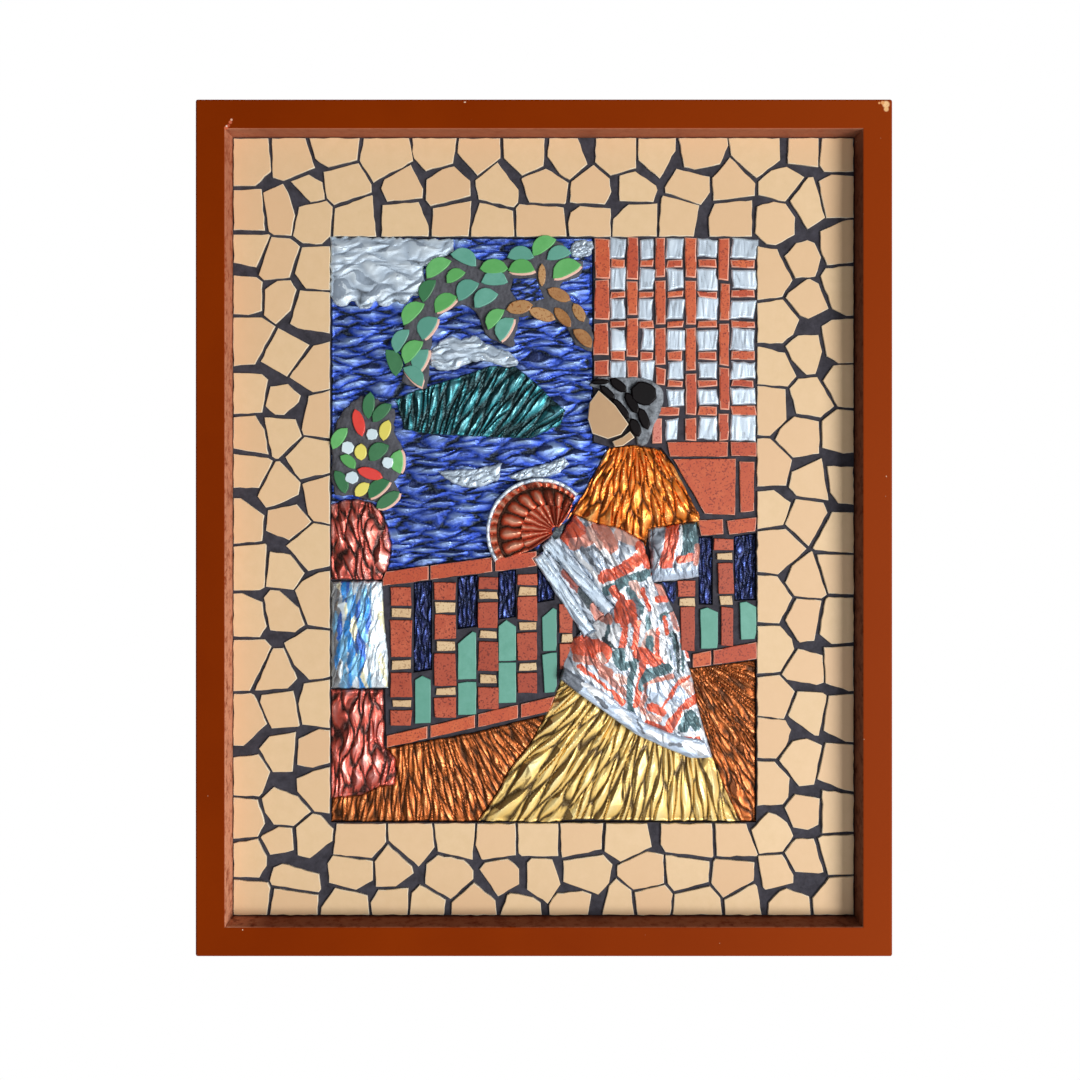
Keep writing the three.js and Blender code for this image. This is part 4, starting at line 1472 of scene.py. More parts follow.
@dataclass(frozen=True)
class Border:
    """Three rows of beige tile snapped into rough polygons, round all four sides of the picture."""

    rows: tuple[float, ...] = (12.5, 36.5, 60.5)
    spacing: float = 34.0
    along_jitter: float = 8.5
    across_jitter: float = 4.0
    joint: Range = (0.5, 1.5)
    slant: float = 0.05
    knocked_share: float = 0.3
    knocked: Range = (2.5, 7.0)
    tilt: float = 0.008
    neighbourhood: float = 110.0
    frame_gap: float = 0.5
    edge_band: float = 3.0
    smallest_side: float = 0.5
    smallest_area: float = 60.0

    def seeds(self) -> list[Point]:
        """Scatter the middles of the pieces along the rows.

        Returns:
            The middles.
        """
        source = chance("border", "seeds")
        places: list[Point] = []
        for index, distance in enumerate(self.rows):
            left, right = PANEL.window_left - distance, PANEL.window_right + distance
            low, high = PANEL.window_bottom - distance, PANEL.window_top + distance
            corners = box(left, right, low, high)
            for start, _, run, length in sides(corners):
                count = round(length / self.spacing)
                unit = run / length
                for i in range(count):
                    along = (i + 0.5 * (index % 2)) * length / count
                    along += source.uniform(-1, 1) * self.along_jitter
                    across = source.uniform(-1, 1) * self.across_jitter
                    at = np.add(start, unit * along) + np.array([-unit[1], unit[0]]) * across
                    places.append((float(at[0]), float(at[1])))
        return places

    def cell(self, seed: Point, others: list[Point]) -> Outline:
        """Find the ground that is nearer one seed than any other, outside the picture.

        Args:
            seed: The middle of the piece.
            others: The middles of all the pieces.

        Returns:
            The ground's outline.
        """
        reach_x = PANEL.opening_half_width - self.frame_gap
        reach_z = PANEL.opening_half_height - self.frame_gap
        ground = box(-reach_x, reach_x, -reach_z, reach_z)
        for other in others:
            away = np.subtract(other, seed)
            distance = float(np.hypot(*away))
            if 0 < distance < self.neighbourhood:
                ground = clipped(ground, tuple(np.add(seed, away / 2)), tuple(away / distance))
        return clipped(ground, *self._window_cut(seed))

    @staticmethod
    def _window_cut(seed: Point) -> tuple[Point, Point]:
        """Find the line that keeps a piece out of the picture.

        Args:
            seed: The middle of the piece.

        Returns:
            A point on the line, and its normal towards the picture.
        """
        right, above = seed[0] > 0, seed[1] > 0
        corner = (
            PANEL.window_right if right else PANEL.window_left,
            PANEL.window_top if above else PANEL.window_bottom,
        )
        inward = (-1.0 if right else 1.0, -1.0 if above else 1.0)
        past_x, past_z = np.subtract(corner, seed) * inward
        if past_x > 0 and past_z > 0:
            return corner, tuple(np.multiply(inward, math.sqrt(0.5)))
        return corner, ((inward[0], 0.0) if past_x > past_z else (0.0, inward[1]))

    def snap(self, cell: Outline, source: Chance) -> Outline:
        """Turn a cell into a snapped piece: draw its sides in unevenly and knock off a few corners.

        Args:
            cell: The cell's corners.
            source: The random source.

        Returns:
            The piece's outline.
        """
        piece = cell
        for start, end, run, length in sides(cell):
            if length < self.smallest_side:
                continue
            turn = source.uniform(-1, 1) * self.slant
            normal = np.array([run[1], -run[0]]) / length
            outer = self._near_edge(start) and self._near_edge(end)
            leaned = normal if outer else self._swung(normal, turn)
            middle = np.add(start, end) / 2
            margin = self.frame_gap if outer else source.uniform(*self.joint) + abs(turn) * length / 4
            piece = clipped(piece, tuple(middle - leaned * margin), tuple(leaned))
        for corner in list(piece):
            if source.random() > self.knocked_share or self._near_edge(corner):
                continue
            centre = np.mean(piece, axis=0)
            away = np.subtract(corner, centre)
            away = away / np.hypot(*away)
            leaned = self._swung(away, source.uniform(-0.5, 0.5))
            depth = source.uniform(*self.knocked)
            piece = clipped(piece, tuple(np.subtract(corner, away * depth)), tuple(leaned))
        return piece

    @staticmethod
    def _swung(direction: np.ndarray, turn: float) -> np.ndarray:
        """Return a direction turned by an angle in radians."""
        c, s = math.cos(turn), math.sin(turn)
        return np.array([direction[0] * c - direction[1] * s, direction[0] * s + direction[1] * c])

    def _near_edge(self, corner: Point) -> bool:
        """Say whether a corner lies along the frame or along the picture.

        Args:
            corner: The corner.

        Returns:
            Whether it does.
        """
        x, z, band = abs(corner[0]), corner[1], self.edge_band
        by_frame = x > PANEL.opening_half_width - band or abs(z) > PANEL.opening_half_height - band
        beside = x < PANEL.window_right + band
        return by_frame or (beside and PANEL.window_bottom - band < z < PANEL.window_top + band)

    def build(self) -> None:
        """Set the four sides of the border."""
        seeds = self.seeds()
        trays = {
            side: TileTray(f"border_tiles_{side}", (Finish.BEIGE,), PANEL.tile_seat, Finish.BEIGE_EDGE)
            for side in ("top", "bottom", "left", "right")
        }
        source = chance("border", "snap")
        for seed in seeds:
            outline = self.snap(self.cell(seed, seeds), source)
            if len(outline) < 3 or area_of(outline) < self.smallest_area:
                continue
            side = "top" if seed[1] > PANEL.window_top else "bottom" if seed[1] < PANEL.window_bottom else (
                "right" if seed[0] > 0 else "left")
            trays[side].set_by_hand(outline, source, 5.0, 0.22, askew=(0.12, self.tilt))
        for tray in trays.values():
            tray.build()


# ---- Brickwork, railing and lattice ----


@dataclass(frozen=True)
class Post:
    """A post of the railing: long red pieces with short sand ones between them."""

    left: float
    right: float
    top: float
    reds: tuple[float, ...]
    sands: tuple[float, ...]
    gap: float
    foot_left: float | None = None
    sand_inset: Range = (0.2, 1.6)
    stray: float = 0.35

    def lay(self, tray: TileTray, source: Chance) -> None:
        """Set the post's pieces from the top down.

        Args:
            tray: The tray that they go in.
            source: The random source.
        """
        top = self.top
        count = len(self.reds) + len(self.sands)
        for i in range(count):
            red = i % 2 == 0
            height = (self.reds if red else self.sands)[i // 2]
            share = i / max(count - 1, 1)
            left = self.left if self.foot_left is None else self.left + (self.foot_left - self.left) * share
            inner = 0.0 if red else source.uniform(*self.sand_inset)
            corners = box(left + inner, self.right - inner * 0.6, top - height, top)
            tray.set_by_hand(jogged(corners, source, self.stray), source, 6, 0.15, finish=0 if red else 1)
            top -= height + self.gap


LEFT_POSTS = (
    Post(-112.2, -96.8, -44.8, (13.4, 27.3, 18.1, 11.4), (6.1, 6.7, 5), 2.23),
    Post(-80.3, -64.4, -41, (12.5, 17.5, 23, 14), (7, 7, 5), 2.1),
    Post(-47.9, -33.5, -37.5, (8, 18.5, 21.5, 16.5), (5.5, 5.5, 6.5), 2.4),
    Post(-19.1, -4.7, -35, (7.5, 16.5, 20.5, 15), (6, 6, 5.5), 1.7),
    Post(11.8, 22, -57, (21, 18), (5.5,), 1.25),
)
RIGHT_POSTS = (
    Post(125.3, 139, -8.8, (8.4, 22.7, 27.8), (5.5, 5.9), 2, foot_left=130.4),
    Post(98.4, 111, -39.9, (11.7, 31.8), (5.8,), 1, foot_left=100.8),
)


@dataclass(frozen=True)
class Plant:
    """A sage green piece cut to a point or a slope at the top."""

    left: float
    right: float
    bottom: float
    top: float
    peak: float = 0.5
    drop_left: float = 4.0
    drop_right: float = 4.0
    taper: float = 0.0

    def outline(self) -> Outline:
        """Work out the piece's corners.

        Returns:
            The corners.
        """
        width = self.right - self.left
        return [
            (self.left + self.taper, self.bottom), (self.right - self.taper, self.bottom + 0.6),
            (self.right, self.bottom + 5), (self.right, self.top - self.drop_right),
            (self.left + width * self.peak, self.top), (self.left, self.top - self.drop_left),
        ]


PLANTS = (
    Plant(-94.3, -82.9, -144.6, -109.5, 0.45, 3, 3),
    Plant(-62.8, -49.5, -112.5, -77, 0.8, 9, 1),
    Plant(-62.8, -49.5, -138.4, -114, 0.5, 1, 0),
    Plant(-33, -20.2, -98.8, -68.5, 0.45, 4.5, 5),
    Plant(-33, -20.2, -129.7, -99.8, 0.5, 0, 0),
    Plant(-1, 9.7, -91.6, -59.7, 0.75, 7, 1.5, 0.6),
    Plant(-1, 9.7, -122, -92.6, 0.6, 1.5, 0, 1.8),
    Plant(115, 128, -89.7, -59.4, 0.4, 1.5, 3.5, 0.6),
    Plant(144, 156, -83, -55, 0.4, 0.8, 4, 1),
)


@dataclass(frozen=True)
class Lattice:
    """The window's lattice: tall red strips, short red crosspieces and silver panes between them."""

    strips: tuple[tuple[float, float, tuple[Range, ...]], ...] = (
        (37.4, 48, ((182, 211.6), (152, 180.5), (126, 149), (110.5, 122.5))),
        (61, 69, ((182, 212), (155, 180), (125, 153), (109, 122.5))),
        (82, 89.5, ((183.5, 212), (148.5, 180), (119, 146), (104, 117))),
        (104, 112, ((183, 212), (148.5, 181), (115, 145.5), (82, 112), (63.5, 79.5))),
        (129, 136.5, ((181, 211.5), (151, 179), (118, 149), (86, 116.5), (63.5, 83))),
    )
    columns: tuple[tuple[float, float, int], ...] = (
        (49.2, 60.4, 5), (70.5, 81, 5), (90.8, 103, 6), (113.4, 127.7, 7), (137.8, 155.6, 7),
    )
    pane_rows: tuple[Range, ...] = (
        (197, 211.5), (173.8, 189.4), (152, 167.4), (129.6, 145), (108.6, 121.4), (89.4, 101.4),
        (63.6, 80.6),
    )
    bar_rows: tuple[Range, ...] = (
        (190.2, 196), (168.2, 173), (146, 151.2), (122.4, 128.6), (102.4, 107.6), (82, 88.4),
    )
    lone_bar: Box = (84.5, 99.5, 81.2, 87.6)
    pale_strip: Box = (80.6, 87, 61.2, 79.8)
    loose_pane: Box = (89.2, 99.6, 63.4, 79.4)
    strip_stray: float = 0.42
    pane_stray: float = 0.8

    def build(self) -> None:
        """Set the strips and bars, and fold the panes."""
        source = chance("lattice")
        tray = TileTray("lattice_strips", (Finish.TERRACOTTA, Finish.ROSE_TILE), PANEL.tile_seat,
                        Finish.TERRACOTTA_EDGE, round_over=0.8)
        sets = [box(left, right, low, high) for left, right, rows in self.strips for low, high in rows]
        sets += [
            box(left + 0.2, right - 0.6, low, high)
            for left, right, count in self.columns for low, high in self.bar_rows[:count - 1]
            if not (count == 6 and low < 100)
        ]
        sets += [box(*self.lone_bar), box(*self.pale_strip)]
        for corners in sets:
            finish = int(corners[0][0] == self.pale_strip[0])
            tray.set_by_hand(jogged(corners, source, self.strip_stray), source, 6, 0.18, finish)
        tray.build()
        panes = [
            box(left, right, low, high)
            for left, right, count in self.columns for low, high in self.pane_rows[:count]
        ]
        panes.append(box(*self.loose_pane))
        outlines = [
            snapped(jogged(corners, source, self.pane_stray), source, 4, 0.3) for corners in panes
        ]
        pattern = Crumple(Flow(), 8, 46, 0.6, 0.3, 0.3, salt=14)
        sheet = Relief("lattice_panes", outlines, PANEL.tile_seat, 0.8)
        sheet.shape(pattern, Profile(15.0, 16.2, 2.2))
        sheet.tint = 0.45 * sheet.tint + 0.55 * source.random(len(outlines))[sheet.owner]
        piece = sheet.build()
        Bench.dress(piece, Finish.PANE_FOIL)
        Bench.hand_over(piece)


@dataclass(frozen=True)
class Brickwork:
    """The handrail, the plinths, the wall's blocks, the posts and the plants between them."""

    groups: tuple[tuple[str, int], ...] = (
        ("handrail_tile", 3), ("plinth_tile", 4), ("right_plinth_tile", 2), ("wall_block", 6),
    )

    def build(self) -> None:
        """Set every piece of the brickwork."""
        for prefix, count in self.groups:
            self._blocks(prefix, count)
        for name, posts in (("left_posts", LEFT_POSTS), ("right_posts", RIGHT_POSTS)):
            source = chance(name)
            tray = TileTray(name, (Finish.DEEP_TERRACOTTA, Finish.SAND), PANEL.tile_seat)
            for post in posts:
                post.lay(tray, source)
            tray.build()
        source = chance("plants")
        tray = TileTray("railing_plants", (Finish.SAGE,), PANEL.tile_seat)
        for plant in PLANTS:
            tray.set_by_hand(plant.outline(), source, 7, 0.12)
        tray.build()

    @staticmethod
    def _blocks(prefix: str, count: int) -> None:
        """Set the pieces that stand for one run of CAD tiles.

        Args:
            prefix: How the tiles' names begin.
            count: How many there are.
        """
        source = chance(prefix)
        nodes = tuple(f"{prefix}_{i + 1}" for i in range(count))
        tray = TileTray(f"{prefix}s", (Finish.TERRACOTTA,), PANEL.tile_back, Finish.TERRACOTTA_EDGE,
                        nodes=nodes)
        for node in nodes:
            outline, _, _ = node_outline(node)
            tray.chips.append(Chip(
                snapped(outline, source, 6, 0.15), PANEL.tile_top + source.normal(0, 0.15),
                source.uniform(0, 1),
            ))
        tray.build()


# ---- Printed and streaked foil ----


Stroke = tuple[str, float, *tuple[float, ...]]
"""A patch of print: its ink, its width, and across and up for each point that it runs through."""

INKS: dict[str, Colour] = {
    "red": (222, 88, 52), "brick": (140, 58, 40), "teal": (76, 108, 114), "ink": (34, 48, 52),
    "salmon": (200, 126, 108), "blush": (228, 182, 168), "white": (240, 244, 248),
    "silver": (190, 206, 226), "slate": (96, 102, 112),
}

SHAWL_PRINT: tuple[Stroke, ...] = (
    ("silver", 8, 20, -14, 36, -34), ("white", 4, 24, -20, 44, -42), ("silver", 5, 34, -20, 50, -36),
    ("red", 12, 19, 5, 27, -6), ("red", 8, 13, -5, 19, -10), ("salmon", 9, 22, -13, 34, -9, 38, -2),
    ("salmon", 15, 43, -6, 47, -13), ("blush", 10, 56, -5, 71, -11), ("blush", 5, 33, -2, 44, -18),
    ("slate", 2.5, 36, -14, 53, -31), ("slate", 3, 28, -16, 45, -38), ("white", 4, 44, -18, 54, -28),
    ("red", 10, 44, -37, 56, -33, 68, -24), ("red", 7, 70, -14, 74, -22, 78, -32),
    ("white", 3.2, 44, -43, 56, -39, 70, -32, 79, -32), ("teal", 8, 47, -47, 58, -40, 75, -35),
    ("red", 6.5, 51, -46, 56, -52), ("blush", 7, 66, -42, 70, -50),
    ("teal", 5, 62, -46, 73, -62, 78, -76), ("red", 3.5, 72, -46, 77, -60),
    ("white", 4, 78, -38, 81, -56, 80, -74), ("red", 5, 83, -53, 91, -53), ("teal", 5, 86, -66, 94, -62),
    ("salmon", 10, 38, -60, 46, -68), ("white", 13, 37, -74, 48, -80), ("teal", 2.6, 48, -72, 44, -84),
    ("red", 17, 60, -61, 60, -66), ("slate", 1.8, 66, -52, 70, -66, 70, -76),
    ("white", 5, 54, -73, 50, -86), ("red", 5.5, 60, -72, 57, -88), ("white", 2, 63, -71, 61, -88),
    ("red", 5, 69, -70, 66, -88), ("white", 3, 74, -60, 70, -88), ("blush", 11, 79, -80, 74, -94),
    ("teal", 6, 78, -82, 77, -93), ("red", 5, 84, -76, 84, -92, 90, -104),
    ("white", 5, 87, -74, 87, -92, 94, -104), ("red", 3.5, 88, -66, 91, -78),
    ("teal", 7, 95, -80, 95, -96), ("silver", 3, 93, -82, 95, -100), ("ink", 3, 99, -80, 98, -106),
    ("teal", 3, 102, -84, 102, -106), ("red", 17, 28, -88, 42, -92),
    ("salmon", 6, 24, -96, 36, -98, 48, -106), ("blush", 5.5, 41, -94, 43, -97),
    ("ink", 3, 44, -82, 54, -90, 62, -90), ("teal", 12, 55, -94, 58, -99), ("white", 4, 61, -90, 62, -96),
    ("red", 5, 26, -102, 44, -117, 58, -128), ("white", 2.6, 22, -103, 36, -112, 50, -124),
    ("salmon", 5, 42, -106, 60, -122), ("blush", 6.5, 54, -110, 59, -112),
    ("teal", 5, 68, -94, 63, -112, 63, -134), ("white", 2.5, 69, -100, 66, -130, 74, -142),
    ("red", 10, 70, -92, 82, -98), ("red", 5, 73, -98, 70, -116, 67, -130),
    ("teal", 8, 72, -116, 77, -107, 90, -103), ("salmon", 4, 74, -116, 84, -111, 94, -109),
    ("salmon", 4, 76, -118, 71, -130, 74, -136), ("silver", 14, 82, -120, 104, -122),
    ("white", 5.5, 88, -117, 91, -122), ("blush", 8, 102, -113, 108, -119),
    ("red", 2.8, 85, -134, 98, -114, 106, -110), ("red", 7, 78, -131, 86, -135),
    ("blush", 5.5, 77, -139, 84, -140), ("red", 4.5, 76, -143, 85, -146),
    ("red", 8, 91, -147, 98, -137, 110, -127), ("white", 3, 97, -149, 103, -135, 114, -131),
    ("teal", 9, 102, -146, 107, -138, 112, -145), ("white", 5, 102, -152, 116, -152),
    ("red", 4, 103, -155, 113, -155),
)
SLEEVE_PRINT: tuple[Stroke, ...] = (
    ("red", 9.5, 95, 4, 93, -10, 89, -28), ("teal", 15, 107, 4, 106, -18),
    ("white", 2.6, 101, 2, 98, -26), ("red", 6, 99, -24, 108, -22), ("salmon", 5, 113, -14, 111, -26),
    ("silver", 9, 80, -35, 118, -33),
)
# The darker inks here stand partly for shade, and the ink patch by the fan's pivot is a painted shadow.
UNDERFOLD_PRINT: tuple[Stroke, ...] = (
    ("slate", 8, 5, -14, 20, -32), ("brick", 11, 18, -34, 28, -45), ("ink", 10, 30, -48, 37, -58),
    ("salmon", 12, 40, -60, 46, -70), ("ink", 12, 8, -4, 14, -2), ("salmon", 9, 81, -42, 86, -49),
    ("red", 5, 82, -53, 93, -53), ("white", 4, 85, -57, 88, -64), ("slate", 4, 91, -57, 95, -62),
    ("ink", 1.6, 87, -66, 96, -62), ("salmon", 5, 95, -65, 98, -76), ("white", 4, 91, -70, 97, -80),
    ("ink", 3, 97, -80, 99, -98), ("teal", 2.6, 101, -84, 102, -98), ("white", 3.5, 104, -90, 106, -98),
    ("red", 2.2, 101, -84, 107, -96),
)
HEM_PRINT: tuple[Stroke, ...] = (
    ("silver", 40, 10, -106, 60, -138, 125, -165), ("slate", 14, 12, -104, 23, -113),
    ("white", 4, 34, -118, 40, -126), ("white", 3, 28, -114, 40, -120, 50, -128),
    ("slate", 3, 38, -124, 46, -131), ("white", 5, 54, -134, 62, -141), ("slate", 2, 68, -140, 73, -150),
    ("white", 4, 76, -149, 90, -156), ("slate", 3, 92, -158, 100, -159),
    ("white", 7, 104, -158, 116, -163),
)


def print_strokes(sheet: Relief, strokes: tuple[Stroke, ...]) -> None:
    """Print patches of colour on a sheet, with edges that break where it is creased.

    Args:
        sheet: The sheet.
        strokes: The patches, later ones over earlier ones.
    """
    x, z = sheet.points.T
    colour = np.tile(linear(INKS["white"]), (len(x), 1))
    inked = np.zeros(len(x))
    for index, (ink, width, *run) in enumerate(strokes):
        waver = 0.8 * drift(x / 9, z / 9, 30 + index) + 0.7 * (sheet.tint - 0.5)
        covered = off_line(x, z, tuple(zip(run[::2], run[1::2]))) + waver < width / 2
        colour[covered] = linear(INKS[ink])
        inked[covered] = 1
    sheet.paint = {"print": colour, "inked": inked}


STREAKS: tuple[tuple[float, Colour], ...] = (
    (0.24, (30, 140, 222)), (0.36, (24, 92, 190)), (0.50, (116, 184, 226)), (0.62, (150, 168, 184)),
    (0.86, (226, 240, 248)), (1.01, (236, 232, 194)),
)


def print_streaks(sheet: Relief) -> None:
    """Streak a sheet with blue, white and yellow along its folds, greyer to the left, paler to the right.

    Args:
        sheet: The sheet.
    """
    x, z = sheet.points.T
    left, right = x.min(), x.max()
    across = (x - left) / (right - left)
    lean = x + 0.2 * z
    _, _, broad = Facets(90).heights(lean / 8, z / 30)
    _, _, narrow = Facets(91).heights((x - 0.1 * z) / 5, z / 22)
    chosen = np.where(narrow > 0.45, broad, narrow * 2)
    pale = (across > 0.72) & (chosen < 0.62)
    chosen = np.where(pale, 0.62 + 0.38 * broad, chosen)
    colour = np.tile(linear(STREAKS[-1][1]), (len(x), 1))
    for limit, shade in reversed(STREAKS):
        colour[chosen < limit] = linear(shade)
    grey = (across + 0.05 * drift(z / 12, x / 9, 5) < 0.17) & (narrow > 0.25)
    colour[grey] = linear((136, 138, 138))
    sheet.paint = {"print": colour, "inked": np.ones(len(x))}


# ---- Foil sheets ----


@dataclass(frozen=True)
class Sheet:
    """A sheet of foil that takes its outline from the CAD nodes it stands for."""

    name: str
    finish: Finish
    pattern: Pattern
    profile: Profile
    nodes: tuple[str, ...] = ()
    pitch: float = 0.9
    ragged: float = 0.25
    gaps: tuple[tuple[Point, ...], ...] = ()
    stretch: Point = (1.0, 1.0)
    strokes: tuple[Stroke, ...] = ()

    def lay(self) -> Relief:
        """Shape the sheet.

        Returns:
            The sheet, not yet made into a mesh.
        """
        source = chance(self.name)
        if self.gaps:
            outlines = [snapped(list(gap), source, 4, 0.1) for gap in self.gaps]
            sheet = Relief(self.name, outlines, PANEL.grout_top - 0.3, self.pitch)
            return sheet.shape(self.pattern, self.profile)
        found = [node_outline(node) for node in self.nodes or (self.name,)]
        outlines = [snapped(self.stretched(outline), source, 2.6, self.ragged) for outline, _, _ in found]
        return Relief(self.name, outlines, found[0][1], self.pitch).shape(self.pattern, self.profile)

    def stretched(self, outline: Outline) -> Outline:
        """Return an outline drawn out a little about its middle."""
        middle = np.mean(outline, axis=0)
        return [tuple(middle + np.multiply(self.stretch, np.subtract(point, middle))) for point in outline]

    def build(self) -> None:
        """Shape the sheet, print it where it is printed, and dress it."""
        sheet = self.lay()
        if self.strokes:
            print_strokes(sheet, self.strokes)
        elif self.finish is Finish.STREAKED_FOIL:
            print_streaks(sheet)
        piece = sheet.build()
        Bench.dress(piece, self.finish)
        Bench.hand_over(piece, *(() if self.gaps else self.nodes or (self.name,)))


SEA = (
    Sheet("sea_and_sky_foil", Finish.BLUE_FOIL, Crumple(Flow(lean=86), 9.6, 34, 3.1, 0.4, 0.22, 2, 0.4),
          Profile(13.2, 15.2, 3)),
    Sheet("sky_between_leaves", Finish.BLUE_FOIL, Crumple(Flow(lean=80), 6, 16, 0.7, 0.3, 0.3, 24),
          Profile(17.7, 18.5, 2.5), pitch=0.7,
          gaps=(((-22, 182), (-24.4, 173.3), (-19.5, 165.8), (-6.4, 165), (0.6, 167.4), (-3.4, 176),
                 (-5.6, 182)),)),
    Sheet("railing_foil_left", Finish.NAVY_FOIL, Crumple(Flow(), 5.5, 22, 2, 0.3, 0.3, 3),
          Profile(12.8, 14.4, 3), tuple(f"railing_foil_{i}" for i in (1, 2, 3, 4)), 0.8),
    Sheet("railing_foil_right", Finish.NAVY_FOIL, Crumple(Flow(), 5.5, 22, 2, 0.3, 0.3, 4),
          Profile(12.8, 14.4, 3), tuple(f"railing_foil_{i}" for i in (5, 6)), 0.8),
    Sheet("foil_right_of_shawl", Finish.NAVY_FOIL, Crumple(Flow(), 5, 14, 0.9, 0.3, 0.3, 25),
          Profile(14.8, 15.6, 2), pitch=0.7,
          gaps=(((87.5, -41), (97.5, -41), (97.5, -52), (95.5, -57), (91.5, -52.5)),)),
)
LANDSCAPE = (
    Sheet("cloud_foil_left", Finish.SILVER_FOIL, Crumple(Flow(lean=84), 13, 30, 1.8, 0.6, 0.22, 5, 0.6),
          Profile(15.4, 17.6, 5), ragged=0.6, stretch=(1.01, 1.07)),
    Sheet("cloud_foil_low", Finish.SILVER_FOIL, Crumple(Flow(lean=84), 11, 26, 1.8, 0.7, 0.2, 6, 0.5),
          Profile(15.2, 17.6, 5), ragged=0.6),
    Sheet("cloud_foil_corner", Finish.SILVER_FOIL, Crumple(Flow(lean=75), 5, 10, 1.2, 0.5, 0.3, 7),
          Profile(15.2, 16.8, 4), ragged=0.5),
    Sheet("hill_foil", Finish.TEAL_FOIL,
          Crumple(Flow((-102, -15), reach=105, upward=True), 6.6, 46, 4, 0.4, 0.18, 8),
          Profile(15.4, 18.6, 6), pitch=0.8),
    Sheet("sail_foil_left", Finish.SILVER_FOIL, Crumple(Flow(lean=60), 8, 14, 1.3, 0.5, 0.3, 9),
          Profile(15.4, 17.6, 4), pitch=0.8),
    Sheet("sail_foil_right", Finish.SILVER_FOIL, Crumple(Flow(lean=60), 6, 10, 1.3, 0.5, 0.3, 10),
          Profile(15.2, 17.2, 4), pitch=0.8),
)
PILLAR = (
    Sheet("pillar_foil_top", Finish.RED_FOIL, Crumple(Flow(lean=-8), 9, 30, 3.4, 0.5, 0.2, 11),
          Profile(14.4, 21, 18), pitch=0.8),
    Sheet("pillar_foil_middle", Finish.STREAKED_FOIL, Crumple(Flow(lean=12), 8, 26, 2, 0.5, 0.25, 12),
          Profile(14.4, 21, 18), pitch=0.7),
    Sheet("pillar_foil_base", Finish.ROSE_FOIL, Crumple(Flow(lean=3), 10, 34, 3.4, 0.5, 0.2, 13),
          Profile(14.4, 21, 18), pitch=0.8),
)
FLOORS = (
    Sheet("floor_foil_left", Finish.COPPER_FOIL,
          Crumple(Flow((-105, -60), reach=120), 5.4, 40, 1.9, 0.4, 0.3, 15), Profile(12.8, 14.8, 5)),
    Sheet("floor_foil_right", Finish.COPPER_FOIL,
          Crumple(Flow((95, -85), reach=90), 6, 36, 2.1, 0.6, 0.3, 16), Profile(12.8, 14.8, 5)),
)
DRESS = (
    Sheet("skirt_foil", Finish.GOLD_FOIL, Crumple(Flow((98, -60), reach=140), 8.4, 56, 4.4, 0.45, 0.13, 17),
          Profile(14.6, 22, 20), pitch=0.8),
    Sheet("bodice_foil", Finish.ORANGE_FOIL, Crumple(Flow((67, 91), reach=80), 8.6, 32, 4.2, 0.3, 0.18, 18),
          Profile(14.6, 22, 16), pitch=0.8, stretch=(1.05, 1)),
    Sheet("shawl_band_upper", Finish.SILVER_FOIL, Crumple(Flow(lean=-41), 7.5, 40, 1.3, 0.35, 0.2, 19, 0.3),
          Profile(15.6, 18.4, 3), pitch=0.8),
    Sheet("shawl_band_lower", Finish.SILVER_FOIL, Crumple(Flow(lean=-38), 7.5, 40, 1.3, 0.35, 0.2, 20, 0.3),
          Profile(15.6, 18.4, 3), pitch=0.8),
)
SHAWL = (
    Sheet("shawl_foil", Finish.PRINTED_FOIL, Crumple(Flow(lean=-28), 8.5, 26, 2.6, 0.4, 0.3, 21, 0.4),
          Profile(15.4, 23.6, 20), pitch=0.7, strokes=SHAWL_PRINT),
    Sheet("sleeve_foil", Finish.PRINTED_FOIL, Crumple(Flow(lean=6), 9, 22, 2, 0.5, 0.3, 22),
          Profile(16.4, 23.6, 12), pitch=0.7, stretch=(1.1, 1.02), strokes=SLEEVE_PRINT),
    Sheet("shawl_underfold", Finish.PRINTED_FOIL, Crumple(Flow(lean=-37), 8, 22, 0.9, 0.4, 0.3, 23),
          Profile(15.2, 16, 3), pitch=0.7, strokes=UNDERFOLD_PRINT,
          gaps=(((-0.9, -13.9), (0.3, -18.2), (35.3, -71.9), (44.6, -65)),
                ((6.3, -7.6), (50, -58.9), (12.2, -8.8)),
                # This patch, by the fan's pivot, carries a painted shadow.
                ((4.6, -7.6), (12, -8.6), (15.5, 1.5), (10.5, 1.8)),
                ((80.5, -41.5), (83, -48), (88, -60), (94, -73), (99, -86), (104, -99),
                 (107.8, -99), (106.2, -93), (101, -86), (100.2, -77), (98.6, -70),
                 (95.2, -61), (90.8, -52), (86.6, -43)))),
    Sheet("shawl_hem", Finish.PRINTED_FOIL, Crumple(Flow(lean=-62), 9, 24, 1.1, 0.4, 0.3, 27, 0.6),
          Profile(21.4, 23.6, 4), pitch=0.7, strokes=HEM_PRINT,
          gaps=(((12, -111), (24, -120.5), (48, -137.5), (66, -150.5), (85, -159.5),
                 (107, -168.5), (123, -168.3), (117.5, -157), (112, -154.5), (100, -153),
                 (90, -149.5), (74, -143), (64, -134.5), (56, -130.5), (46, -121.5),
                 (30, -112.5), (15, -102.5)),)),
)
FAN = (
    Sheet("fan_foil", Finish.RUSSET_FOIL, FanPleats(), Profile(19.6, 21.8, 8), pitch=0.6),
    Sheet("fan_rim", Finish.SILVER_FOIL, Crimps(), Profile(19.2, 20.4, 1.2), pitch=0.6, ragged=0.12),
)


# ---- Leaves and flowers on modelled grout ----


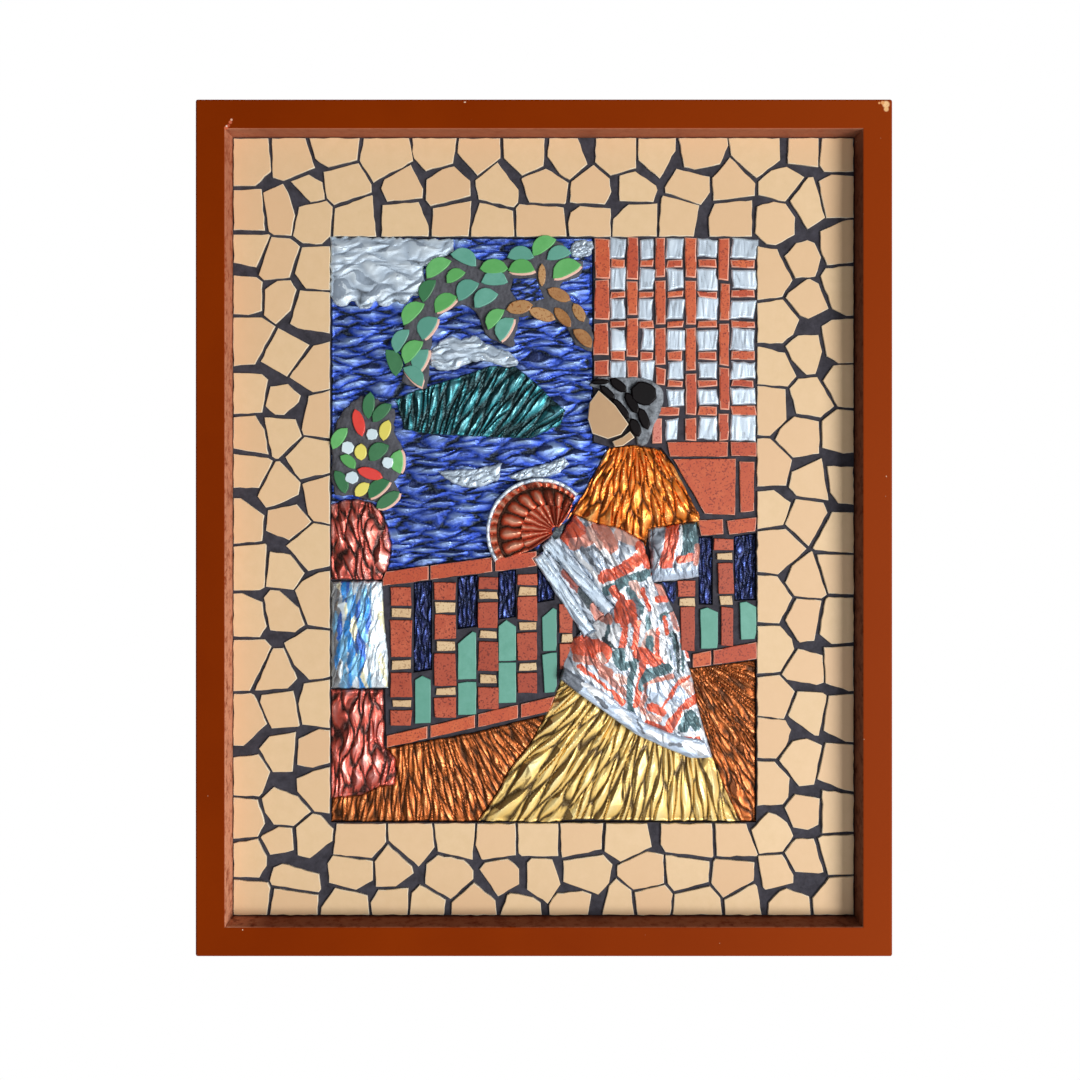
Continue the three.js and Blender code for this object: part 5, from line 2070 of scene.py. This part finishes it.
@dataclass(frozen=True)
class Mound:
    """Modelled grout that takes its outline from its CAD node."""

    node: str
    finish: Finish
    lumps: Lumps
    profile: Profile
    pitch: float
    waver: float
    smooth_degrees: float = 60.0

    def build(self, source: Chance) -> np.ndarray:
        """Model the grout.

        Args:
            source: The random source.

        Returns:
            Its outline before its sides waver.
        """
        outline, back, _ = node_outline(self.node)
        sheet = Relief(self.node, [snapped(outline, source, 3, self.waver)], back, self.pitch)
        piece = sheet.shape(self.lumps, self.profile).build(self.smooth_degrees)
        Bench.dress(piece, self.finish)
        Bench.hand_over(piece, self.node)
        return np.array(outline)


GLAZES = (
    Finish.BRIGHT_GREEN, Finish.SAGE, Finish.DARK_GREEN, Finish.BROWN, Finish.RED, Finish.YELLOW,
    Finish.NUGGET, Finish.PALE_EDGE,
)


@dataclass(frozen=True)
class Leaf:
    """A leaf or petal of tile: its glaze, its middle, its turn, its size and which way its body shows."""

    glaze: Finish
    x: float
    z: float
    turn: float
    length: float = 19.5
    width: float = 10.0
    flatness: float = 0.25
    bare_side: float | None = None


def leaves(glaze: Finish, *rows: tuple[float, ...]) -> tuple[Leaf, ...]:
    """Return leaves of one glaze from rows that follow the order of Leaf's other fields."""
    return tuple(Leaf(glaze, *row) for row in rows)


CANOPY_LEAVES = (
    *leaves(
        Finish.BRIGHT_GREEN,
        (-76.5, 188.1, 35, 21, 10), (-64, 182.2, 30, 15, 8), (-36.5, 188.7, 0, 20, 10, 0.5),
        (-16.3, 187.5, 0, 19, 9.5, 0.25, -60), (-71.3, 162.5, 35, 19, 10, 0.25, -35),
        (-94.8, 155.4, 45, 21, 10), (-34.6, 151.4, 50, 18, 8.5), (-94.8, 127.3, 50, 20, 10),
        (0.8, 204.4, 35, 20, 10), (17.2, 186.7, 25, 22, 11, 0.25, -60),
    ),
    *leaves(
        Finish.SAGE,
        (-58.8, 195.2, -25, 20, 10), (-35.9, 178.9, 0, 19, 10), (-16.9, 197.2, 0, 19, 9.5),
        (-54.8, 171.7, 40, 19, 11), (-41.8, 165.2, 30, 19, 11), (-26.8, 144.2, 60, 19, 10, 0.25, -30),
        (-83.3, 144.9, 55, 19, 11, 0.25, -35), (-103.3, 135.7, 60, 19, 9),
        (-88.3, 121.3, 65, 18, 10, 0.25, -20), (-96.1, 109.5, -45, 19, 9, 0.25, -80),
        (11.3, 197.9, 15, 18, 9),
    ),
    *leaves(
        Finish.DARK_GREEN,
        (-83.6, 172.4, 60, 18, 9), (-112.1, 120, -70, 20, 10),
    ),
)
BRANCH = leaves(
    Finish.BROWN,
    (-1.2, 184.2, 90, 16, 5, 1), (11.3, 169.9, -25, 18, 8, 1), (-17.6, 160.6, 10, 19, 9, 0.9),
    (-1.2, 155.4, -20, 20, 8, 0.9), (13.9, 153.4, -50, 18, 7, 0.9), (25.7, 156.7, -60, 15, 7, 0.9),
    (28.2, 137.6, -45, 18, 8, 0.5),
)
BUSH_LEAVES = (
    *leaves(
        Finish.DARK_GREEN,
        (-127.6, 88.8, 85, 19, 8, 0.8), (-118.2, 83.2, 45, 18, 8, 0.6), (-120.1, 53.8, 40, 17, 10, 0.4),
        (-149.1, 32.7, -65, 18, 8, 0.5), (-120.1, 27.1, 40, 19, 9, 0.3, -45),
        (-114, 19.6, 35, 20, 8, 0.9, -50),
    ),
    *leaves(
        Finish.BRIGHT_GREEN,
        (-149, 64.5, 55, 18, 8, 0.5), (-105.1, 47.7, 90, 17, 9, 0.3, 0),
        (-143.4, 47.2, -40, 14, 7, 0.5),
    ),
)
BUSH_FLOWERS = (
    *leaves(
        Finish.RED,
        (-135.5, 76.2, -75, 20, 7.5, 0.9), (-127.1, 38.8, -18, 19, 7.5, 0.9),
    ),
    *leaves(
        Finish.YELLOW,
        (-115.4, 70.6, 75, 15, 7.5, 0.7), (-133.4, 54.7, 90, 12, 8, 0.8),
        (-132.7, 27.1, 42, 13, 7.5, 0.8),
    ),
    *leaves(
        Finish.NUGGET,
        (-125.5, 67.5, 0, 9.4, 9), (-143.6, 58.2, 0, 10, 9.6), (-114, 46.9, 0, 8.6, 9),
        (-140.2, 35.7, 0, 9.4, 8.8),
    ),
)


def nugget(leaf: Leaf, source: Chance) -> Outline:
    """Shape a rounded nugget with a few flats.

    Args:
        leaf: Its place and size.
        source: The random source.

    Returns:
        Its outline.
    """
    angles = np.linspace(0, 2 * math.pi, 9)[:-1] + source.uniform(-0.18, 0.18, 8)
    radii = source.normal(1.0, 0.06, 8)
    return [
        (leaf.x + leaf.length / 2 * r * math.cos(a), leaf.z + leaf.width / 2 * r * math.sin(a))
        for a, r in zip(angles, radii)
    ]


@dataclass(frozen=True)
class Foliage:
    """A bed of modelled grout and the pieces of tile pressed into it."""

    bed: str
    trays: tuple[tuple[str, tuple[Leaf, ...]], ...]
    seat: float = 14.8
    bed_edge: float = 15.6
    bed_peak: float = 17.9
    edge_top: float = 17.4
    crown: float = 19.2
    shoulder: float = 8.0
    overhang: float = 1.7
    longer: float = 1.05
    wider: float = 1.12

    def build(self) -> None:
        """Model the bed and press in the pieces."""
        source = chance(self.bed)
        lumps = Lumps(8.0, 1.1, salt=len(self.bed))
        profile = Profile(self.bed_edge, self.bed_peak, self.shoulder)
        border = Mound(self.bed, Finish.BED_GROUT, lumps, profile, 0.8, 0.5).build(source)
        for name, leaves in self.trays:
            tray = TileTray(name, GLAZES, self.seat, round_over=0.55)
            for leaf in leaves:
                self._press(tray, leaf, border, source)
            tray.build()

    def _press(self, tray: TileTray, leaf: Leaf, border: np.ndarray, source: Chance) -> None:
        """Press one piece into the bed.

        Args:
            tray: The tray that it goes in.
            leaf: The piece.
            border: The bed's outline.
            source: The random source.
        """
        depth = float(inset_of(border, np.array([[leaf.x, leaf.z]]))[0])
        share = min(max(depth / self.shoulder, 0), 1)
        top = self.edge_top + (self.crown - self.edge_top) * share + source.uniform(-0.2, 0.3)
        if leaf.glaze is Finish.NUGGET:
            outline = nugget(leaf, source)
        else:
            length, width = self.longer * leaf.length, self.wider * leaf.width
            outline = lens((leaf.x, leaf.z), length, width, leaf.turn, leaf.flatness)
        tilt = tuple(source.normal(0, 0.03, 2))
        outline = snapped(outline, source, 9, 0.15)
        tray.chips.append(Chip(outline, top, source.uniform(0, 1), tilt, GLAZES.index(leaf.glaze)))
        if leaf.bare_side is not None:
            angle = math.radians(leaf.bare_side)
            shift = (self.overhang * math.cos(angle), self.overhang * math.sin(angle))
            body = [(x + shift[0], z + shift[1]) for x, z in outline]
            tray.chips.append(Chip(body, top - 1.0, tilt=tilt, finish=GLAZES.index(Finish.PALE_EDGE)))


CANOPY = Foliage("canopy_grout", (("canopy_leaves", CANOPY_LEAVES), ("canopy_branch", BRANCH)))
BUSH = Foliage("bush_grout", (("bush_leaves", BUSH_LEAVES), ("bush_flowers", BUSH_FLOWERS)))


# ---- The head ----


@dataclass(frozen=True)
class Head:
    """A blank face and neck of tile, and hair of domed black tile on pale grout."""

    hair_tiles: int = 8
    swell: float = 1.2
    mound_rise: float = 2.4
    seated: float = 1.2
    sunk: float = 0.3

    def build(self) -> None:
        """Set the head."""
        front = node_outline("hair_grout")[2]
        source = chance("hair")
        lumps, profile = Lumps(6.0, 0.9, salt=3), Profile(front - self.mound_rise, front, 4)
        Mound("hair_grout", Finish.LIGHT_GROUT, lumps, profile, 0.7, 0.3).build(source)
        nodes = tuple(f"hair_tile_{i + 1}" for i in range(self.hair_tiles))
        tray = TileTray("hair_tiles", (Finish.BLACK,), front - self.seated, round_over=1.1, segments=3,
                        nodes=nodes)
        for node in nodes:
            outline, _, top = node_outline(node)
            middle = np.mean(outline, axis=0)
            outline = [tuple(middle + self.swell * (np.array(point) - middle)) for point in outline]
            tint = source.uniform(0, 1)
            tray.chips.append(Chip(outline, top - self.sunk, tint, tuple(source.normal(0, 0.03, 2))))
        tray.build()
        for name in ("face_tile", "neck_tile"):
            outline, back, top = node_outline(name)
            tray = TileTray(name, (Finish.SKIN,), back, Finish.BEIGE_EDGE, round_over=0.5, nodes=(name,))
            tray.chips.append(Chip(outline, top))
            tray.build()


# ---- Floor, lights and camera ----


@dataclass(frozen=True)
class Studio:
    """A pale floor, soft lights and the camera."""

    floor_height: float = -1.3
    floor_size: float = 3.0
    lens: float = 37.2
    place: tuple[float, float, float] = (-0.0136, -0.835, 0.0415)
    shift: Point = (0.0139, -0.0648)
    sensor_width: float = 36.0
    floor_colour: Colour = (236, 236, 236)
    surroundings: Colour = (150, 154, 162)
    brightness: float = 0.2
    lights: tuple[tuple[str, tuple[float, float, float], float, float], ...] = (
        ("key_light", (3.0, -3.4, -0.8), 2.1, 222.0), ("fill_light", (0.3, -3.0, -0.6), 1.4, 19.0),
        ("back_light", (-1.6, 2.0, 2.0), 2.0, 110.0),
    )

    def build(self) -> None:
        """Set up the floor, the world, the lights and the camera."""
        Bench.clear()
        bpy.ops.mesh.primitive_plane_add(size=self.floor_size, location=(0, 0, self.floor_height))
        floor = Bench.place_primitive("floor")
        graph = Graph("pale_floor")
        floor.data.materials.append(graph.shade(self.floor_colour, Roughness=0.9))
        self._world()
        for light in self.lights:
            self._light(*light)
        camera = bpy.data.objects.new("camera", bpy.data.cameras.new("camera"))
        bpy.context.scene.collection.objects.link(camera)
        camera.location = self.place
        camera.rotation_euler = (math.radians(90), 0, 0)
        camera.data.lens = self.lens
        camera.data.sensor_width = self.sensor_width
        camera.data.shift_x, camera.data.shift_y = self.shift
        bpy.context.scene.camera = camera
        bpy.context.scene.view_settings.view_transform = "Standard"

    def _world(self) -> None:
        """Make the surroundings white to look at and dim grey as a source of light."""
        world = bpy.data.worlds.new("studio")
        bpy.context.scene.world = world
        world.use_nodes = True
        nodes, links = world.node_tree.nodes, world.node_tree.links
        output, lit = nodes["World Output"], nodes["Background"]
        mix = nodes.new("ShaderNodeMixShader")
        seen = nodes.new("ShaderNodeBackground")
        path = nodes.new("ShaderNodeLightPath")
        seen.inputs["Color"].default_value = (1, 1, 1, 1)
        lit.inputs["Color"].default_value = linear(self.surroundings)
        lit.inputs["Strength"].default_value = self.brightness
        links.new(path.outputs["Is Camera Ray"], mix.inputs[0])
        links.new(lit.outputs[0], mix.inputs[1])
        links.new(seen.outputs[0], mix.inputs[2])
        links.new(mix.outputs[0], output.inputs["Surface"])

    @staticmethod
    def _light(name: str, place: tuple[float, float, float], size: float, power: float) -> None:
        """Add a soft square light that faces the panel.

        Args:
            name: Its name.
            place: Its place, in metres.
            size: Its side, in metres.
            power: Its power, in watts.
        """
        data = bpy.data.lights.new(name, "AREA")
        data.size = size
        data.energy = power
        light = bpy.data.objects.new(name, data)
        bpy.context.scene.collection.objects.link(light)
        light.location = place
        light.rotation_euler = (-Vector(place)).to_track_quat("-Z", "Y").to_euler()


def main() -> None:
    """Build the panel, piece by piece."""
    Studio().build()
    BoxFrame().build()
    dress_cad_nodes()
    Border().build()
    Brickwork().build()
    Lattice().build()
    for sheet in (*SEA, *LANDSCAPE, *PILLAR, *FLOORS, *DRESS, *SHAWL, *FAN):
        sheet.build()
    CANOPY.build()
    BUSH.build()
    Head().build()


if __name__ == "__main__":
    logging.basicConfig(level=logging.INFO, format="%(message)s")
    main()
